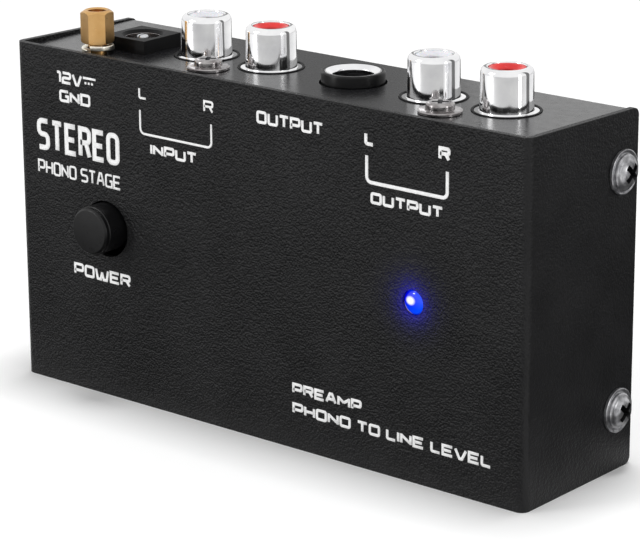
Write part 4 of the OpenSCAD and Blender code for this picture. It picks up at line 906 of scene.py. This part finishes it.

# %% [markdown]
# ### Lamp
# A lit blue LED is a clear lens with a tiny bright chip inside, and the lens magnifies it into a white
# spot. Here the lens glows by itself, with light and shade painted into its glow: blue, with painted shade
# that darkens it towards the upper left; painted shade deeper towards its edge, where the hole's rim shades
# it; a painted highlight as a pale rim at the lower left; and a painted white spot inside a small ball round
# the chip's image. The distance to each ball's centre is measured in the lens's own coordinates, so the spot
# stays put from every side.

# %% Lamp lens
LAMP_X, _, LAMP_Z = middle_mm("lamp_lens")
DOME_BACK = box_mm("lamp_lens")[1][1]
DOME_R, DOME_FLANGE_R, DOME_LONG = 2.48, 2.88, 8.58
lit_lens, tree, shader, place = finish("lit_blue_resin", "#03030c", 0.08, IOR=1.5)


def ball(outside, inside, aside_mm, behind_mm, over_mm, inner_mm, outer_mm, wide=1.0):
    flat = add(tree, "ShaderNodeVectorMath", {0: place, 1: (1 / wide, 1.0, 1.0)}, operation="MULTIPLY")
    centre = ((LAMP_X + aside_mm) / wide * MM, (FACE_Y + behind_mm) * MM, (LAMP_Z + over_mm) * MM)
    away = add(tree, "ShaderNodeVectorMath", {0: flat.outputs[0], 1: centre}, operation="DISTANCE")
    near = add(tree, "ShaderNodeMapRange", {"Value": away.outputs["Value"], "From Min": inner_mm * MM,
                                            "From Max": outer_mm * MM, "To Min": 1.0, "To Max": 0.0})
    mix = add(tree, "ShaderNodeMix", {0: near.outputs["Result"], 6: outside, 7: inside}, data_type="RGBA")
    return mix.outputs[2]


# Painted shade: the blue darkens towards the upper left, where the hole shades the lens
blue = ball(linear("#0050ff"), linear("#0008e0"), -2.2, 0.05, 1.1, inner_mm=1.0, outer_mm=4.4)
# Painted shade: a deep blue ring at the lens's edge, where the hole's rim shades it
edge_shade = ball(linear("#0000a0"), blue, 0.0, 0.05, 0.05, inner_mm=1.75, outer_mm=2.15)
# Painted highlight: a pale rim at the lower left, where the hole's edge catches light
rim_highlight = ball(linear("#c8bcff"), edge_shade, 1.4, 0.05, 1.3, inner_mm=3.75, outer_mm=3.95)
# A painted white spot for the chip's image, fixed on the lens
chip = ball(rim_highlight, linear("#ffffff"), -0.58, 0.15, 0.2, inner_mm=0.45, outer_mm=0.8, wide=1.3)
tree.links.new(chip, shader.inputs["Emission Color"])
shader.inputs["Emission Strength"].default_value = 1.0
dome = turned([(0, 0), (DOME_FLANGE_R, 0), (DOME_FLANGE_R, 1.0), (DOME_R, 1.0), (DOME_R, DOME_LONG - 1.08),
               (1.9, DOME_LONG - 0.28), (0, DOME_LONG)], {1: 0.1, 2: 0.1, 4: 0.4, 5: 0.5}, closed=False)
piece("lamp_lit_dome", moved(swung(dome, 90, "X"), LAMP_X, DOME_BACK, LAMP_Z), lit_lens, "case",
      "lamp_blue", "lamp_lens")

# %% [markdown]
# The lens throws a faint blue halo onto the coat round it. A small blue spot lamp in front, turned to the
# face, does that. It is hidden from the camera and from mirrors, and its cone keeps blue off the floor.

# %% Halo
HALO_OFF = 3.0                                     # from the face
HALO_WIDE_DEG = 150
halo = bpy.data.lights.new("lamp_halo", "SPOT")
halo.color = linear("#2a20ff")[:3]
halo.energy = 0.016
halo.shadow_soft_size = 1.0 * MM
halo.spot_size = math.radians(HALO_WIDE_DEG)
halo.spot_blend = 1.0
halo_lamp = bpy.data.objects.new("lamp_halo", halo)
halo_lamp.location = Vector((LAMP_X, FACE_Y - HALO_OFF, LAMP_Z)) * MM
halo_lamp.rotation_euler.x = math.radians(90)
halo_lamp.visible_camera = False
halo_lamp.visible_glossy = False
scene.collection.objects.link(halo_lamp)
print("halo lamp stands", HALO_OFF, "mm off the face")

# %% [markdown]
# ### Printed labels
# The labels are screen printed: a flat film of white ink a few hundredths of a millimetre thick. A font
# file would be a dependency, so the letters are drawn as strokes on a square grid of nine by nine points,
# two digits to a point. Corners marked r are rounded with a vertex bevel. Each stroke is pulled up into a
# thin wall, and a Solidify modifier gives the wall the width of the pen. It would grow a spike on a sharp
# V, so that letter gets a flat foot. Where a letter has several strokes, each lies a few thousandths of a
# millimetre over the last, so that no two faces share a plane.

# %% Letter strokes
STROKES = {
    "A": ["00 38 58 80", "13 73"], "D": ["00 08 88r 80r 00"], "E": ["88 08 00 80", "04 74"],
    "G": ["88 08r 00r 80 84 54"], "H": ["00 08", "80 88", "04 84"], "I": ["40 48"], "L": ["08 00r 80"],
    "M": ["00 08", "80 88", "07 43", "87 43"], "N": ["00 08", "80 88", "07 81"],
    "O": ["00r 08r 88r 80r 00r"], "P": ["00 08 88r 83r 03"], "R": ["00 08 88r 84r 04", "54 80"],
    "S": ["88 08r 04r 84r 80r 00"], "T": ["08 88", "48 40"], "U": ["08 00r 80r 88"], "V": ["08 30 50 88"],
    "W": ["08 10 30 46", "46 50 70 88"], "1": ["08 88r 80"], "2": ["08 88r 84r 04r 00 80"]}
STROKE_LIFT = 0.008
CORNER_SHARE = 0.17                                # a corner's rounding as a share of the letter's height


def letter(bm, char, left, base, width, height):
    for layer, stroke in enumerate(STROKES[char]):
        marks = stroke.split()
        loop = marks[0] == marks[-1]
        points = [(left + width * int(m[0]) / 8, base + height * int(m[1]) / 8)
                  for m in (marks[:-1] if loop else marks)]
        verts = [bm.verts.new((x * MM, -STROKE_LIFT * layer * MM, z * MM)) for x, z in points]
        for start, end in zip(verts, verts[1:] + (verts[:1] if loop else [])):
            bm.edges.new((start, end))
        soft = [v for v, m in zip(verts, marks) if m.endswith("r")]
        if soft:
            soften(bm, soft, CORNER_SHARE * height, 4)


print("letters drawn:", "".join(sorted(STROKES)))

# %% [markdown]
# A word is given the box that its outline fills. Gaps between letters and words go by the pen's width, and
# the letters share what the gaps leave over: most are equally wide, and a few are wider or narrower by a
# set share.

# %% Words and lines
LETTER_SHARES = {" ": 0.0, "I": 0.0, "1": 0.4, "L": 0.86, "M": 1.3, "W": 1.5, "V": 1.1, "A": 1.1}
LETTER_GAP, WORD_SPACE = 1.28, 0.9                 # in pen widths


def word(bm, text, pen_mm, left, right_edge, low, high):
    shares = [LETTER_SHARES.get(char, 1.0) for char in text]
    gap, space = LETTER_GAP * pen_mm, WORD_SPACE * pen_mm
    free = right_edge - left - pen_mm - gap * (len(text) - 1) - space * text.count(" ")
    unit = free / sum(shares)
    x = left + pen_mm / 2
    for char, share in zip(text, shares):
        if char != " ":
            letter(bm, char, x, low + pen_mm / 2, share * unit, high - low - pen_mm)
        x += share * unit + gap + (space if char == " " else 0)


def line(bm, *points, soft_mm=0.0):
    verts = [bm.verts.new((x * MM, 0.0, z * MM)) for x, z in points]
    for start, end in zip(verts, verts[1:]):
        bm.edges.new((start, end))
    if soft_mm:
        soften(bm, verts[1:-1], soft_mm, 6)


def bracket(bm, left, right_edge, low, high):
    line(bm, (left, high), (left, low), (right_edge, low), (right_edge, high), soft_mm=0.9)


print("strokes of two words stand", round(2 * LETTER_GAP + WORD_SPACE, 2), "pens apart")

# %% [markdown]
# The ink is matt white with a slight unevenness where the screen's mesh left it thinner. Words in one pen
# width go into one object, whose film starts a hundredth of a millimetre down in the coat.

# %% Ink
INK_FILM, INK_SUNK = 0.05, 0.01
ink, *base = finish("screen_printed_white_ink", "#f2f2f2", 0.5, IOR=1.5)
vary_colour(*base, "#ececec", "#f8f8f8", 0.9)


def print_ink(name, bm, pen_mm):
    grown = bmesh.ops.extrude_edge_only(bm, edges=bm.edges[:])
    lifted = [v for v in grown["geom"] if isinstance(v, bmesh.types.BMVert)]
    bmesh.ops.translate(bm, verts=lifted, vec=(0, -INK_FILM * MM, 0))
    bmesh.ops.recalc_face_normals(bm, faces=bm.faces[:])
    label = piece(name, moved(bm, 0, FACE_Y + INK_SUNK, 0), ink, "case", "white_plastic")
    pen = label.modifiers.new("pen", "SOLIDIFY")
    pen.thickness = pen_mm * MM
    pen.offset = 0.0
    pen.use_even_offset = True


print("ink film is", INK_FILM, "mm thick")

# %% [markdown]
# The labels name the sockets above them and the button, and the other words say what the box does. A word
# is placed by its left, right, low and high edge on the face.

# %% Labels
FINE, SMALL, BOLD, LARGE = 0.38, 0.48, 0.58, 0.9
fine = bmesh.new()
line(fine, (-37.4, 54.45), (-34.5, 54.45))
for start in (-37.05, -36.3, -35.55):
    line(fine, (start, 53.6), (start + 0.42, 53.6))
word(fine, "L", FINE, -24.9, -23.1, 52.8, 54.75)
word(fine, "R", FINE, -10.75, -8.6, 52.75, 54.75)
bracket(fine, -24.65, -9.15, 47.05, 50.95)
word(fine, "PHONO STAGE", FINE, -48.6, -29.4, 36.5, 38.9)
print_ink("fine_labels", fine, FINE)

small = bmesh.new()
word(small, "12V", SMALL, -43.6, -37.6, 52.75, 54.85)
word(small, "GND", SMALL, -43.0, -35.85, 49.6, 51.7)
word(small, "INPUT", SMALL, -22.55, -12.3, 43.75, 45.7)
word(small, "OUTPUT", SMALL, 0.45, 14.1, 52.7, 54.8)
word(small, "OUTPUT", SMALL, 23.4, 37.4, 43.6, 45.5)
word(small, "POWER", SMALL, -40.8, -27.75, 20.0, 22.15)
word(small, "PREAMP", SMALL, 7.35, 21.6, 9.3, 11.2)
word(small, "PHONO TO LINE LEVEL", SMALL, 7.35, 46.9, 5.9, 7.85)
print_ink("small_labels", small, SMALL)

bold = bmesh.new()
word(bold, "L", BOLD, 22.2, 24.15, 52.65, 54.8)
word(bold, "R", BOLD, 36.4, 38.65, 52.65, 54.85)
bracket(bold, 22.65, 38.1, 46.95, 51.1)
print_ink("bold_labels", bold, BOLD)

large = bmesh.new()
word(large, "STEREO", LARGE, -48.55, -29.5, 40.6, 46.1)
print_ink("large_label", large, LARGE)
